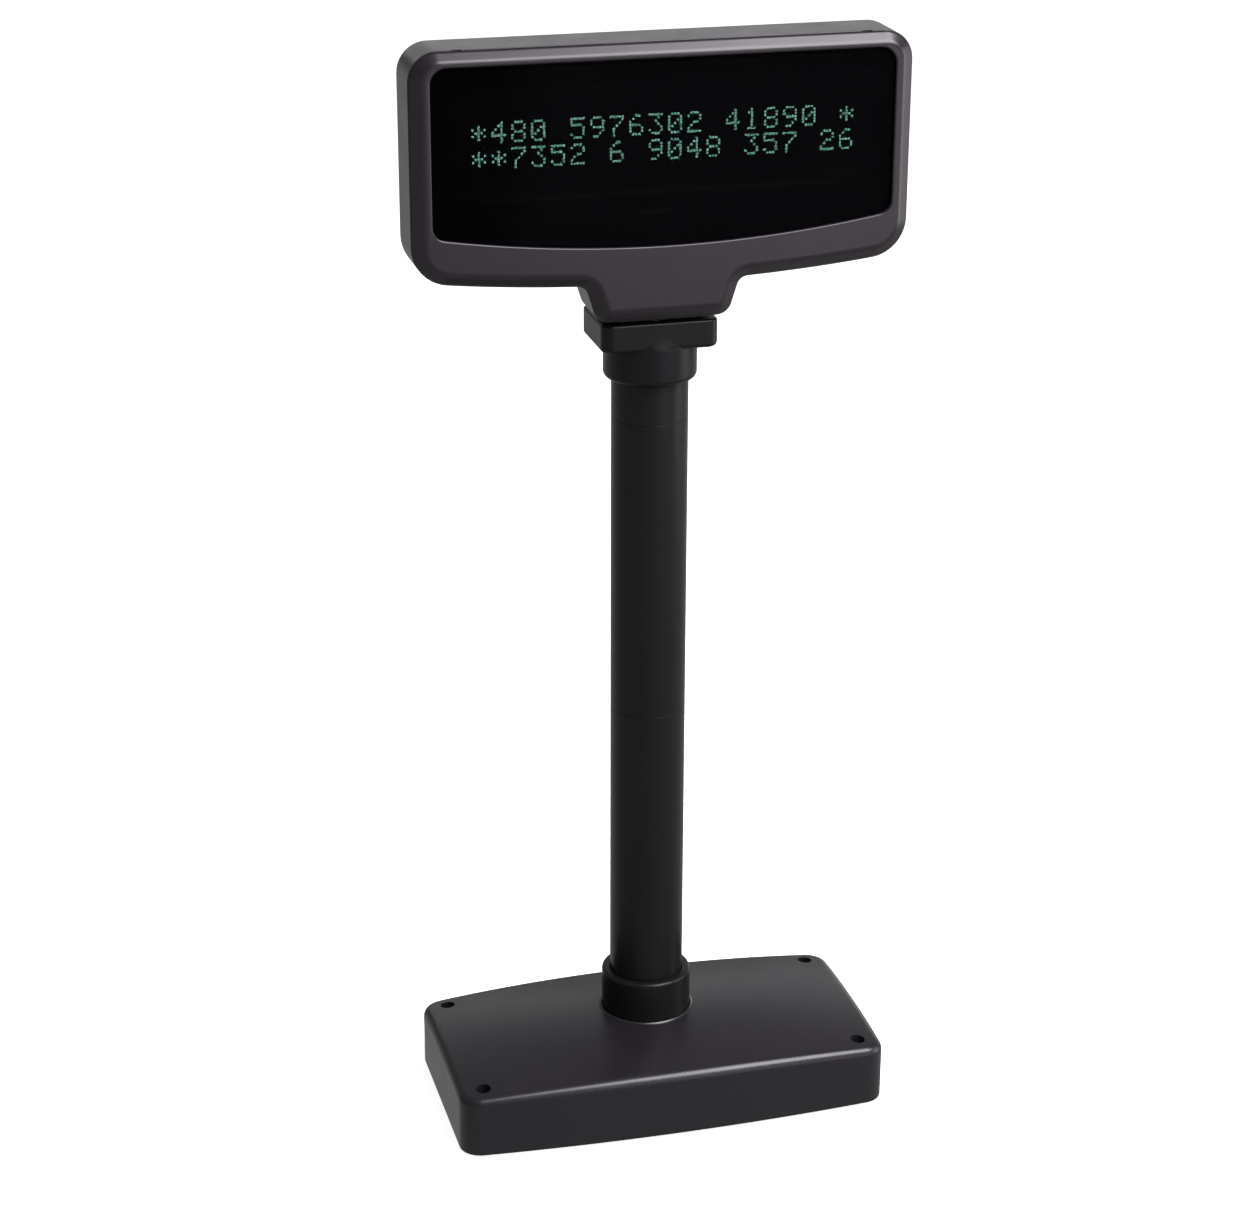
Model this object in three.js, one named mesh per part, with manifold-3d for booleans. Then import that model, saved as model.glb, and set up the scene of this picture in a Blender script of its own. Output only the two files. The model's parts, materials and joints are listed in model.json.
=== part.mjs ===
// A customer pole display: a slim two-line display head that tilts and swivels on a
// three-piece pole, which stands in a weighted base. Millimetres, +Z up, the front faces -Y.
// The origin is under the middle of the base, on the surface that the feet stand on.

import * as THREE from 'three';
import { mergeVertices } from 'three/addons/utils/BufferGeometryUtils.js';
import Module from 'manifold-3d';

const wasm = await Module();
wasm.setup();

// ---------------------------------------------------------------- driving dimensions

const GAP = 0.3;          // clearance between pieces that lie against each other
const FOOT_PROUD = 1.2;   // height of the base cover's lower edge above the surface

const BASE = { width: 202.5, depth: 106.7, bulge: 4.5, corner: 10, edge: 27.1, wall: 2.6 };
const CROWN = { front: 3.4, side: 2.8, middle: 2.2 };   // rise of the top over its corners
const PLATE = { thickness: 3, inset: 3 };
const FOOT = { radius: 8, thickness: 1.4, x: 78, y: 33 };
const COVER_SCREW = { x: 89.7, y: 40, pillar: 5.6, bore: 3.4, shelf: 10 };
const OUTLET = { x: -62, z: 12.5, width: 12, height: 9, bore: 3.2 };

const POLE_Y = 9;         // the pole stands behind the middle of the base
const POLE = { radius: 17, bore: 14.4, spigot: 14.1, spigotBore: 11.6, spigotLength: 14 };
const SOCKET = { radius: 20.8, top: 56.5, shelf: 36, cableBore: 12, flange: 32, flangeScrews: 27 };
const SEAM_LOW = 191;     // where the lower and middle lengths of the pole meet
const SEAM_HIGH = 329.2;  // where the middle and top lengths meet

const COLLAR = { radius: 20.6, bottom: 347.2, round: 3 };
const BLOCK = { halfWidth: 26, front: -19, back: 19.5, bottom: 363.5, top: 376.2, corner: 5 };
const NECK = { radius: 12, bore: 9, shoulder: 365.6, top: 374.8 };

const TILT_Z = 392.2;     // height of the tilt axle
const HINGE = { radius: 13.6, wall: 2.4, halfWidth: 27, lugInner: 8.5, lugOuter: 10.5, pin: 3 };
const HINGE_CLEAR = 3.3;  // radius of the holes that the tilt pins pass through

const HEAD = {
  halfWidth: 108.6, top: 497.6, bottom: 401.2, sag: 7, topCorner: 13, bottomCorner: 17,
  front: -25, edge: -21.2, back: 5.5, wall: 2.4,
};
const TONGUE = { rootHalf: 34, tipHalf: 28.9, tip: 378.6, rootFillet: 5, tipCorner: 7 };
const WINDOW = { halfWidth: 100, top: 491, bottom: 420.3, sag: 8.7, topCorner: 7, bottomCorner: 6 };
const TUBE = { halfWidth: 92, bottom: 435, top: 480, margin: 4 };          // display tube
const BOARD = { halfWidth: 90, bottom: 424, top: 486, front: -10, back: -8.4 };
const BOARD_SCREW = { x: 84, low: 430, high: 480 };
const CASE_SCREWS = [[-84, 407.5], [-44, 404], [44, 404], [84, 407.5]];

const CORD_RADIUS = 2.2;
const ROUND_STEPS = 24;   // sides of the large round pieces
const SMALL_STEPS = 10;   // sides of screws and holes
const ARC_STEPS = 3;      // half the number of steps along each rounded corner

// ---------------------------------------------------------------- solids

function toSolid(geometry) {
  const bare = geometry.clone();
  bare.deleteAttribute('normal');
  bare.deleteAttribute('uv');
  const merged = mergeVertices(bare, 1e-4);
  const corners = merged.index.array;
  const triangles = [];
  for (let i = 0; i < corners.length; i += 3) {
    const [a, b, c] = corners.slice(i, i + 3);
    if (a !== b && b !== c && c !== a) triangles.push(a, b, c);
  }
  const mesh = new wasm.Mesh({
    numProp: 3,
    vertProperties: new Float32Array(merged.attributes.position.array),
    triVerts: new Uint32Array(triangles),
  });
  mesh.merge();
  return new wasm.Manifold(mesh);
}

function toGeometry(solid) {
  const mesh = solid.getMesh();
  const geometry = new THREE.BufferGeometry();
  geometry.setAttribute('position', new THREE.BufferAttribute(mesh.vertProperties, 3));
  geometry.setIndex(new THREE.BufferAttribute(mesh.triVerts, 1));
  geometry.computeVertexNormals();
  return geometry;
}

const join = (first, ...others) => others.reduce((sum, other) => sum.add(other), first);
const cut = (first, ...others) => others.reduce((rest, other) => rest.subtract(other), first);

function box([x0, x1], [y0, y1], [z0, z1]) {
  const geometry = new THREE.BoxGeometry(x1 - x0, y1 - y0, z1 - z0);
  geometry.translate((x0 + x1) / 2, (y0 + y1) / 2, (z0 + z1) / 2);
  return toSolid(geometry);
}

// A round rod along one axis, from low to high on it, at the other two coordinates.
function rod(axis, radius, [low, high], [first, second], steps = SMALL_STEPS) {
  const geometry = new THREE.CylinderGeometry(radius, radius, high - low, steps);
  const middle = (low + high) / 2;
  if (axis === 'x') geometry.rotateZ(Math.PI / 2).translate(middle, first, second);
  if (axis === 'y') geometry.translate(first, middle, second);
  if (axis === 'z') geometry.rotateX(Math.PI / 2).translate(first, second, middle);
  return toSolid(geometry);
}

// A turned piece about the Z axis. The profile is [radius, height] points: up the outside first,
// and either starting and ending on the axis or closing on itself.
function turned(profile, steps = ROUND_STEPS) {
  const closes = profile[0][0] > 0;
  const points = [...profile, ...(closes ? [profile[0]] : [])].map(([r, z]) => new THREE.Vector2(r, z));
  return toSolid(new THREE.LatheGeometry(points, steps).rotateX(Math.PI / 2));
}

// ---------------------------------------------------------------- outlines

// An outline is a counter-clockwise list of { x, y, r } corners, where r rounds the corner.
function inset(corners, distance) {
  const inward = (from, to) => new THREE.Vector2(from.y - to.y, to.x - from.x).normalize();
  return corners.map((corner, i) => {
    const before = inward(corners.at(i - 1), corner);
    const after = inward(corner, corners[(i + 1) % corners.length]);
    const reach = distance / (1 + before.dot(after));
    const hollow = before.cross(after) < 0;
    return {
      x: corner.x + (before.x + after.x) * reach,
      y: corner.y + (before.y + after.y) * reach,
      r: corner.r && Math.max(corner.r + (hollow ? distance : -distance), 0.5),
    };
  });
}

function roundedShape(corners) {
  const shape = new THREE.Shape();
  corners.forEach((corner, i) => {
    const point = new THREE.Vector2(corner.x, corner.y);
    const step = i === 0 ? 'moveTo' : 'lineTo';
    if (!corner.r) {
      shape[step](point.x, point.y);
      return;
    }
    const back = new THREE.Vector2().copy(corners.at(i - 1)).sub(point).normalize();
    const ahead = new THREE.Vector2().copy(corners[(i + 1) % corners.length]).sub(point).normalize();
    const halfAngle = Math.acos(THREE.MathUtils.clamp(back.dot(ahead), -1, 1)) / 2;
    const start = point.clone().addScaledVector(back, corner.r / Math.tan(halfAngle));
    const end = point.clone().addScaledVector(ahead, corner.r / Math.tan(halfAngle));
    const middle = back.clone().add(ahead).normalize().multiplyScalar(corner.r / Math.sin(halfAngle)).add(point);
    const from = start.clone().sub(middle).angle();
    const to = end.clone().sub(middle).angle();
    const clockwise = back.cross(ahead) > 0;
    shape[step](start.x, start.y);
    shape.absarc(middle.x, middle.y, corner.r, from, to, clockwise);
  });
  return shape;
}

function slabZ(corners, [low, high]) {
  const settings = { depth: high - low, bevelEnabled: false, curveSegments: ARC_STEPS };
  return toSolid(new THREE.ExtrudeGeometry(roundedShape(corners), settings).translate(0, 0, low));
}

// A slab whose outline lies in the XZ plane, with both rims slanted by an optional bevel.
function slabY(corners, [front, back], bevel = { size: 0, depth: 0, steps: 1 }) {
  const geometry = new THREE.ExtrudeGeometry(roundedShape(corners), {
    depth: back - front - 2 * bevel.depth,
    curveSegments: ARC_STEPS,
    bevelEnabled: bevel.size > 0,
    bevelSize: bevel.size,
    bevelOffset: -bevel.size,
    bevelThickness: bevel.depth,
    bevelSegments: bevel.steps,
  });
  return toSolid(geometry.rotateX(Math.PI / 2).translate(0, back - bevel.depth, 0));
}

// A bar along X whose outline lies in the YZ plane.
function slabX(corners, [left, right]) {
  const settings = { depth: right - left, bevelEnabled: false, curveSegments: ARC_STEPS };
  const geometry = new THREE.ExtrudeGeometry(roundedShape(corners), settings);
  return toSolid(geometry.rotateX(Math.PI / 2).rotateZ(Math.PI / 2).translate(left, 0, 0));
}

function rectangle([x0, x1], [y0, y1], r = 0) {
  return [{ x: x0, y: y0, r }, { x: x1, y: y0, r }, { x: x1, y: y1, r }, { x: x0, y: y1, r }];
}

// Points of a shallow arc between two corners, as a parabola that drops by sag in the middle.
function arcPoints(halfWidth, height, sag, places) {
  return places.map((place) => ({
    x: place * halfWidth,
    y: height - sag * (1 - place * place),
    r: 0,
  }));
}

function baseOutline() {
  const half = BASE.width / 2;
  const sideY = BASE.depth / 2 - BASE.bulge;
  const places = [-0.75, -0.5, -0.25, 0, 0.25, 0.5, 0.75];
  const front = arcPoints(half, -sideY, BASE.bulge, places);
  const back = front.map(({ x, y }) => ({ x: -x, y: -y, r: 0 }));
  const r = BASE.corner;
  return [
    { x: -half, y: -sideY, r }, ...front, { x: half, y: -sideY, r },
    { x: half, y: sideY, r }, ...back, { x: -half, y: sideY, r },
  ];
}

function headOutline() {
  const { halfWidth, top, bottom, sag, topCorner, bottomCorner } = HEAD;
  const drop = (x) => bottom - sag * (1 - (x / halfWidth) ** 2);
  const left = arcPoints(halfWidth, bottom, sag, [-0.7, -0.5]);
  const right = arcPoints(halfWidth, bottom, sag, [0.5, 0.7]);
  return [
    { x: -halfWidth, y: top, r: topCorner },
    { x: -halfWidth, y: bottom, r: bottomCorner },
    ...left,
    { x: -TONGUE.rootHalf, y: drop(TONGUE.rootHalf), r: TONGUE.rootFillet },
    { x: -TONGUE.tipHalf, y: TONGUE.tip, r: TONGUE.tipCorner },
    { x: TONGUE.tipHalf, y: TONGUE.tip, r: TONGUE.tipCorner },
    { x: TONGUE.rootHalf, y: drop(TONGUE.rootHalf), r: TONGUE.rootFillet },
    ...right,
    { x: halfWidth, y: bottom, r: bottomCorner },
    { x: halfWidth, y: top, r: topCorner },
  ];
}

function windowOutline() {
  const { halfWidth, top, bottom, sag, topCorner, bottomCorner } = WINDOW;
  return [
    { x: -halfWidth, y: top, r: topCorner },
    { x: -halfWidth, y: bottom, r: bottomCorner },
    ...arcPoints(halfWidth, bottom, sag, [-0.7, -0.35, 0, 0.35, 0.7]),
    { x: halfWidth, y: bottom, r: bottomCorner },
    { x: halfWidth, y: top, r: topCorner },
  ];
}

// ---------------------------------------------------------------- materials

const plastic = (name, color, roughness) => new THREE.MeshStandardMaterial({ name, color, roughness });
const metal = (name, color, roughness) =>
  new THREE.MeshStandardMaterial({ name, color, roughness, metalness: 1 });

const CASE = () => plastic('case', 0x2b2a2d, 0.45);
const TUBE_BLACK = () => plastic('tube', 0x1b1b1d, 0.4);
const DARK_GLASS = () => plastic('filter', 0x060608, 0.1);
const GLASS = () => plastic('glass', 0x9aa6a4, 0.1);
const BOARD_GREEN = () => plastic('board', 0x1d5a33, 0.5);
const CHIP = () => plastic('chip', 0x151515, 0.5);
const CONNECTOR = () => plastic('connector', 0xe6e0d0, 0.5);
const COPPER = () => metal('copper', 0xb87333, 0.4);
const CORD = () => plastic('cord', 0x161616, 0.6);
const RUBBER = () => plastic('rubber', 0x141414, 0.9);
const STEEL = () => metal('steel', 0x8d9094, 0.4);
const SCREW = () => metal('screw', 0x3a3a3c, 0.35);

const display = new THREE.Group();
const column = new THREE.Group();      // everything that is centred on the pole
column.position.set(0, POLE_Y, 0);
display.add(column);

function place(group, name, solid, material, position = [0, 0, 0], turn = [0, 0, 0]) {
  const mesh = new THREE.Mesh(toGeometry(solid), material);
  mesh.name = name;
  mesh.position.set(...position);
  mesh.rotation.set(...turn);
  group.add(mesh);
}

// A round-headed screw that points down, with the underside of its head at the origin.
function screw(headRadius, headHeight, shaftRadius, length) {
  return turned([
    [0, -length], [shaftRadius, -length], [shaftRadius, 0], [headRadius, 0],
    [headRadius, headHeight * 0.6], [headRadius * 0.75, headHeight], [0, headHeight],
  ], SMALL_STEPS);
}

// ---------------------------------------------------------------- base

const plateLow = FOOT.thickness + GAP;
const plateTop = plateLow + PLATE.thickness;
const coverScrewPlaces = [[-1, -1], [1, -1], [1, 1], [-1, 1]];

// Where the curved back wall stands at the cable outlet.
const outletY = BASE.depth / 2 - BASE.bulge * (OUTLET.x / (BASE.width / 2)) ** 2;

// Height of the cover's top: it is crowned both ways, and a little more in its middle.
function crownHeight(x, y) {
  const acrossX = 1 - (x / (BASE.width / 2)) ** 2;
  const acrossY = 1 - (y / (BASE.depth / 2)) ** 2;
  const rise = CROWN.front * acrossX + CROWN.side * acrossY + CROWN.middle * acrossX * acrossY;
  return FOOT_PROUD + BASE.edge + rise;
}

// A tall block whose top is the crown, lowered by drop.
function crownedBlock(drop, stepsX, stepsY) {
  const middle = 20;
  const geometry = new THREE.BoxGeometry(BASE.width + 10, BASE.depth + 10, 2 * middle, stepsX, stepsY, 1);
  const positions = geometry.attributes.position;
  for (let i = 0; i < positions.count; i += 1) {
    const onTop = positions.getZ(i) > 0;
    positions.setZ(i, onTop ? crownHeight(positions.getX(i), positions.getY(i)) - drop : -middle);
  }
  return toSolid(geometry);
}

function baseCover() {
  const tall = 60;
  const outline = baseOutline();
  const outside = slabZ(outline, [FOOT_PROUD, tall]).intersect(crownedBlock(0, 8, 6));
  const hollow = slabZ(inset(outline, BASE.wall), [0, tall]).intersect(crownedBlock(BASE.wall, 4, 4));
  const pillars = coverScrewPlaces.map(([sx, sy]) => {
    const at = [sx * COVER_SCREW.x, sy * COVER_SCREW.y];
    return rod('z', COVER_SCREW.pillar, [plateTop + GAP, tall], at).intersect(outside);
  });
  const bores = coverScrewPlaces.flatMap(([sx, sy]) => {
    const at = [sx * COVER_SCREW.x, sy * COVER_SCREW.y];
    return [
      rod('z', COVER_SCREW.bore, [COVER_SCREW.shelf, tall], at),
      rod('z', 2, [0, tall], at),
    ];
  });
  const socketHole = rod('z', SOCKET.radius + GAP, [20, tall], [0, POLE_Y], ROUND_STEPS);
  const outlet = box(
    [OUTLET.x - OUTLET.width / 2, OUTLET.x + OUTLET.width / 2],
    [outletY - 10, outletY + 5],
    [OUTLET.z - OUTLET.height / 2, OUTLET.z + OUTLET.height / 2],
  );
  return cut(join(cut(outside, hollow), ...pillars), ...bores, socketHole, outlet);
}

function flangeScrewPlaces() {
  return [90, 210, 330].map((degrees) => {
    const angle = THREE.MathUtils.degToRad(degrees);
    return [SOCKET.flangeScrews * Math.cos(angle), SOCKET.flangeScrews * Math.sin(angle)];
  });
}

const CLAMP = { x: -35.5, half: 2.5, low: plateTop + GAP, top: 15, back: 15.5, screwY: 11.5 };
const CORD_LOW = 11.5;    // height of the cord's middle where the clamp holds it

function basePlate() {
  const plate = slabZ(inset(baseOutline(), PLATE.inset), [plateLow, plateTop]);
  const holes = [
    ...coverScrewPlaces.map(([sx, sy]) => [sx * COVER_SCREW.x, sy * COVER_SCREW.y]),
    ...flangeScrewPlaces().map(([x, y]) => [x, y + POLE_Y]),
    [CLAMP.x, CLAMP.screwY + POLE_Y],
  ];
  return cut(plate, ...holes.map((at) => rod('z', 2, [0, 10], at)));
}

function cableGrommet() {
  const lip = 1.5;
  const halfWidth = OUTLET.width / 2 - GAP;
  const halfHeight = OUTLET.height / 2 - GAP;
  const across = (extra) => [OUTLET.x - halfWidth - extra, OUTLET.x + halfWidth + extra];
  const up = (extra) => [OUTLET.z - halfHeight - extra, OUTLET.z + halfHeight + extra];
  const plug = box(across(0), [outletY - 5, outletY + 0.6], up(0));
  const outerLip = box(across(lip), [outletY + 0.5, outletY + 1.4], up(lip));
  return cut(join(plug, outerLip), rod('y', OUTLET.bore, [outletY - 10, outletY + 4], [OUTLET.x, OUTLET.z], 16));
}

place(display, 'base_cover', baseCover(), CASE());
place(display, 'base_plate', basePlate(), STEEL());
place(display, 'cable_grommet', cableGrommet(), RUBBER());
coverScrewPlaces.forEach(([sx, sy], i) => {
  const foot = rod('z', FOOT.radius, [0, FOOT.thickness], [0, 0], 16);
  place(display, `rubber_foot_${i + 1}`, foot, RUBBER(), [sx * FOOT.x, sy * FOOT.y, 0]);
  const at = [sx * COVER_SCREW.x, sy * COVER_SCREW.y, COVER_SCREW.shelf + GAP];
  place(display, `base_screw_${i + 1}`, screw(3, 2.6, 1.6, 8.2), SCREW(), at);
});

// ---------------------------------------------------------------- socket and pole

function poleSocket() {
  const low = plateTop + GAP;
  const flangeTop = low + 3;
  const body = turned([
    [SOCKET.cableBore, low], [SOCKET.flange, low], [SOCKET.flange, flangeTop],
    [SOCKET.radius, flangeTop], [SOCKET.radius, SOCKET.top - 1], [SOCKET.radius - 1, SOCKET.top],
    [POLE.radius + GAP, SOCKET.top], [POLE.radius + GAP, SOCKET.shelf], [SOCKET.cableBore, SOCKET.shelf],
  ]);
  const cordHole = rod('x', 5, [-SOCKET.radius - 4, 0], [0, CORD_LOW + 2]);
  return cut(body, cordHole, ...flangeScrewPlaces().map((at) => rod('z', 2, [0, 12], at)));
}

// One length of the pole, with a thinner spigot on top that plugs into the next length.
function poleLength(low, high) {
  const { radius, bore, spigot, spigotBore, spigotLength } = POLE;
  const step = 8;
  return turned([
    [bore, low], [radius, low], [radius, high], [spigot, high], [spigot, high + spigotLength],
    [spigotBore, high + spigotLength], [spigotBore, high - step], [bore, high - step],
  ]);
}

function poleTop() {
  const low = SEAM_HIGH + GAP / 2;
  const boreEnd = low + POLE.spigotLength + 8;
  return turned([
    [POLE.bore, low], [POLE.radius, low], [POLE.radius, NECK.shoulder], [NECK.radius, NECK.shoulder],
    [NECK.radius, NECK.top], [NECK.bore, NECK.top], [NECK.bore, boreEnd], [POLE.bore, boreEnd],
  ]);
}

function poleHarness() {
  const back = outletY - POLE_Y;
  const points = [
    [OUTLET.x, back - 5.4, OUTLET.z], [OUTLET.x, back - 13, OUTLET.z], [OUTLET.x + 2, 19, 12],
    [OUTLET.x + 9, 8, CORD_LOW], [-44, 1.5, CORD_LOW], [-36, 0, CORD_LOW], [-28, 0, CORD_LOW],
    [-20, 0, 12], [-10, 0, 15], [-3, 0, 23], [0, 0, 36], [0, 0, 60],
    [0, 0, 150], [0, 0, 270], [0, 0, TILT_Z - 1],
  ].map((point) => new THREE.Vector3(...point));
  const section = new THREE.Shape().absarc(0, 0, CORD_RADIUS, 0, 2 * Math.PI);
  const path = new THREE.CatmullRomCurve3(points, false, 'centripetal');
  const settings = { steps: 40, extrudePath: path, curveSegments: 4 };
  return toSolid(new THREE.ExtrudeGeometry(section, settings));
}

function cableClamp() {
  const block = box([CLAMP.x - CLAMP.half, CLAMP.x + CLAMP.half], [-5, CLAMP.back], [CLAMP.low, CLAMP.top]);
  const channel = rod('x', CORD_RADIUS + 0.5, [CLAMP.x - 5, CLAMP.x + 5], [0, CORD_LOW]);
  return cut(block, channel, rod('z', 1.8, [0, 20], [CLAMP.x, CLAMP.screwY]));
}

place(column, 'pole_socket', poleSocket(), TUBE_BLACK());
place(column, 'pole_lower', poleLength(SOCKET.shelf + GAP, SEAM_LOW - GAP / 2), TUBE_BLACK());
place(column, 'pole_middle', poleLength(SEAM_LOW + GAP / 2, SEAM_HIGH - GAP / 2), TUBE_BLACK());
place(column, 'pole_top', poleTop(), TUBE_BLACK());
place(column, 'pole_harness', poleHarness(), CORD());
place(column, 'cable_clamp', cableClamp(), CONNECTOR());
place(column, 'clamp_screw', screw(2.4, 2, 1.4, 12.5), SCREW(), [CLAMP.x, CLAMP.screwY, CLAMP.top + GAP]);
flangeScrewPlaces().forEach(([x, y], i) => {
  const height = plateTop + 2 * GAP + 3;
  place(column, `socket_screw_${i + 1}`, screw(3.2, 2.2, 1.6, 5.8), SCREW(), [x, y, height]);
});

// ---------------------------------------------------------------- swivel

const flangeLow = NECK.shoulder + 0.4;            // the block's inner flange rests on the pole
const flangeHigh = flangeLow + 3.6;
const bracketPlate = { halfWidth: 20, front: -15, back: 15.5, low: BLOCK.top + GAP, thickness: 1.4 };
const bracketScrewPlaces = [[-16.8, -11.8], [16.8, -11.8], [16.8, 12.3], [-16.8, 12.3]];

function swivelBlock() {
  const { halfWidth, front, back, bottom, top, corner } = BLOCK;
  const { radius, round } = COLLAR;
  const body = slabZ(rectangle([-halfWidth, halfWidth], [front, back], corner), [bottom, top]);
  const collar = turned([
    [0, COLLAR.bottom], [radius - round, COLLAR.bottom], [radius - round / 2, COLLAR.bottom + round * 0.14],
    [radius - round * 0.14, COLLAR.bottom + round / 2], [radius, COLLAR.bottom + round],
    [radius, bottom + 1], [0, bottom + 1],
  ]);
  const poleBore = rod('z', POLE.radius + 0.35, [COLLAR.bottom - 1, flangeLow], [0, 0], ROUND_STEPS);
  const neckBore = rod('z', NECK.radius + 0.3, [flangeLow - 1, flangeHigh + 1], [0, 0], ROUND_STEPS);
  const pocket = rod('z', 17, [flangeHigh, top + 1], [0, 0], ROUND_STEPS);
  const screwHoles = bracketScrewPlaces.map((at) => rod('z', 1.5, [368, top + 1], at));
  return cut(join(body, collar), poleBore, neckBore, pocket, ...screwHoles);
}

function ring(inner, outer, [low, high]) {
  return turned([[inner, low], [outer, low], [outer, high], [inner, high]]);
}

// A steel plate with two upright lugs that carry the tilt pins.
function tiltBracket() {
  const { halfWidth, front, back, low, thickness } = bracketPlate;
  const plate = slabZ(rectangle([-halfWidth, halfWidth], [front, back], 3), [low, low + thickness]);
  const lugs = [-1, 1].map((side) => {
    const span = [side * HINGE.lugInner, side * HINGE.lugOuter].sort((a, b) => a - b);
    const post = box(span, [-5.5, 5.5], [low, TILT_Z]);
    return cut(join(post, rod('x', 5.5, span, [0, TILT_Z], 18)), rod('x', HINGE_CLEAR, [-20, 20], [0, TILT_Z]));
  });
  const countersinks = bracketScrewPlaces.flatMap((at) => [
    rod('z', 1.7, [low - 1, low + 3], at),
    rod('z', 2.9, [low + 0.5, low + 3], at),
  ]);
  return cut(join(plate, ...lugs), ...countersinks, rod('z', 5, [low - 1, low + 3], [0, 0]));
}

place(column, 'swivel_block', swivelBlock(), CASE());
place(column, 'swivel_washer', ring(NECK.radius + GAP, 16, [flangeHigh + GAP, flangeHigh + 1.1]), STEEL());
place(column, 'swivel_nut', ring(NECK.radius + GAP, 15.6, [flangeHigh + 1.4, flangeHigh + 4.8]), STEEL());
place(column, 'tilt_bracket', tiltBracket(), STEEL());
bracketScrewPlaces.forEach(([x, y], i) => {
  const height = bracketPlate.low + 0.8;
  place(column, `bracket_screw_${i + 1}`, screw(2.5, 0.6, 1.2, 7.5), SCREW(), [x, y, height]);
});

// ---------------------------------------------------------------- head

const FAR = 60;           // longer than any head piece is deep
const pocketBack = HEAD.back - HEAD.wall;

// Everything that lies behind the axle and further from it than the hinge barrel, below the axle.
function belowBarrel() {
  const corner = box([-FAR, FAR], [0, FAR], [TILT_Z - FAR, TILT_Z]);
  return cut(corner, rod('x', HINGE.radius, [-FAR, FAR], [0, TILT_Z], ROUND_STEPS));
}

// The barrel round the tilt axle, with a slope from it up to the back of the head.
function hingeHousing(shrink, halfWidth) {
  const radius = HINGE.radius - shrink;
  const rise = 36;
  const slope = [
    { x: 0, y: TILT_Z, r: 0 }, { x: radius, y: TILT_Z, r: 0 },
    { x: radius - 0.6, y: TILT_Z + 6, r: 0 }, { x: HEAD.back - shrink - 0.5, y: TILT_Z + rise - shrink, r: 0 },
    { x: 0, y: TILT_Z + rise - shrink, r: 0 },
  ];
  const barrel = rod('x', radius, [-halfWidth, halfWidth], [0, TILT_Z], ROUND_STEPS);
  return join(barrel, slabX(slope, [-halfWidth, halfWidth]));
}

function rearCover() {
  const outline = headOutline();
  const bevel = { size: 2.5, depth: 2.5, steps: 2 };
  const front = HEAD.edge + 0.5;
  const shell = slabY(outline, [front - bevel.depth, HEAD.back], bevel);
  const outside = cut(shell, box([-200, 200], [-FAR, front], [300, 600]), belowBarrel());
  const hollow = slabY(inset(outline, HEAD.wall), [-FAR, pocketBack]);
  const hollowBelow = cut(hollow, belowBarrel(), box([-FAR, FAR], [4, FAR], [300, TILT_Z]));
  const casing = cut(
    join(outside, hingeHousing(0, HINGE.halfWidth)),
    hollowBelow,
    hingeHousing(HINGE.wall, HINGE.halfWidth - HINGE.wall),
  );
  const posts = [-1, 1].flatMap((side) => [BOARD_SCREW.low, BOARD_SCREW.high].map((z) => {
    const at = [side * BOARD_SCREW.x, z];
    const post = rod('y', 3.4, [BOARD.back + GAP, pocketBack + 1], at);
    return cut(post, rod('y', 1.4, [BOARD.back - 1, pocketBack - 1], at));
  }));
  const ears = [-1, 1].map((side) => {
    const span = [side * 12.1, side * 15.6].sort((a, b) => a - b);
    return join(box(span, [0, HINGE.radius - 1.5], [TILT_Z - 6, TILT_Z + 6]), rod('x', 7, span, [0, TILT_Z], 18));
  });
  const pinHole = rod('x', HINGE_CLEAR, [-19, 19], [0, TILT_Z]);
  const lugSlot = box([-11.6, 11.6], [-11, 20], [300, TILT_Z - 3.5]);
  const screwHoles = CASE_SCREWS.flatMap((at) => [
    rod('y', 1.8, [pocketBack - 1, FAR], at),
    rod('y', 3.4, [HEAD.back - 1.3, FAR], at),
  ]);
  return cut(join(casing, ...posts, ...ears), pinHole, lugSlot, ...screwHoles);
}

function frontBezel() {
  const outline = headOutline();
  const bevel = { size: 6, depth: HEAD.edge - HEAD.front, steps: 2 };
  const rim = slabY(inset(outline, 0.6), [HEAD.front, HEAD.edge + bevel.depth + 0.2], bevel);
  const face = cut(rim, box([-200, 200], [HEAD.edge + 0.2, FAR], [300, 600]));
  const skirt = slabY(inset(outline, HEAD.wall + GAP), [HEAD.edge - 0.5, HEAD.edge + 4]);
  const pocket = slabY(inset(outline, HEAD.wall + 2.5), [HEAD.front + 2.8, FAR]);
  const opening = slabY(windowOutline(), [-FAR, FAR]);
  const rebate = slabY(inset(windowOutline(), -1.6), [HEAD.front + 1.7, FAR]);
  const bosses = CASE_SCREWS.map((at) => cut(
    rod('y', 3.6, [HEAD.front + 2, pocketBack - GAP], at),
    rod('y', 1.4, [-14, FAR], at),
  ));
  return join(cut(join(face, skirt), pocket, opening, rebate), ...bosses);
}

function tubeGlass([front, back]) {
  const { halfWidth, bottom, top } = TUBE;
  return slabY(rectangle([-halfWidth, halfWidth], [bottom, top], 1), [front, back]);
}

function tubeSpacer([front, back]) {
  const { halfWidth, bottom, top, margin } = TUBE;
  const hole = rectangle([-halfWidth + margin, halfWidth - margin], [bottom + margin, top - margin], 1);
  return cut(tubeGlass([front, back]), slabY(hole, [front - 1, back + 1]));
}

// The row of leads that joins the rear glass to the board: a strip with a comb of pins.
function leadFrame() {
  const pins = 24;
  const pitch = 6.4;
  const low = TUBE.bottom - 3;
  const strip = box([-78, 78], [-16.3, -15.7], [low, low + 5]);
  const comb = Array.from({ length: pins }, (_, i) => {
    const x = (i - (pins - 1) / 2) * pitch;
    return box([x - 0.4, x + 0.4], [-16, BOARD.front - GAP], [low + 0.2, low + 0.8]);
  });
  return join(strip, ...comb);
}

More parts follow.
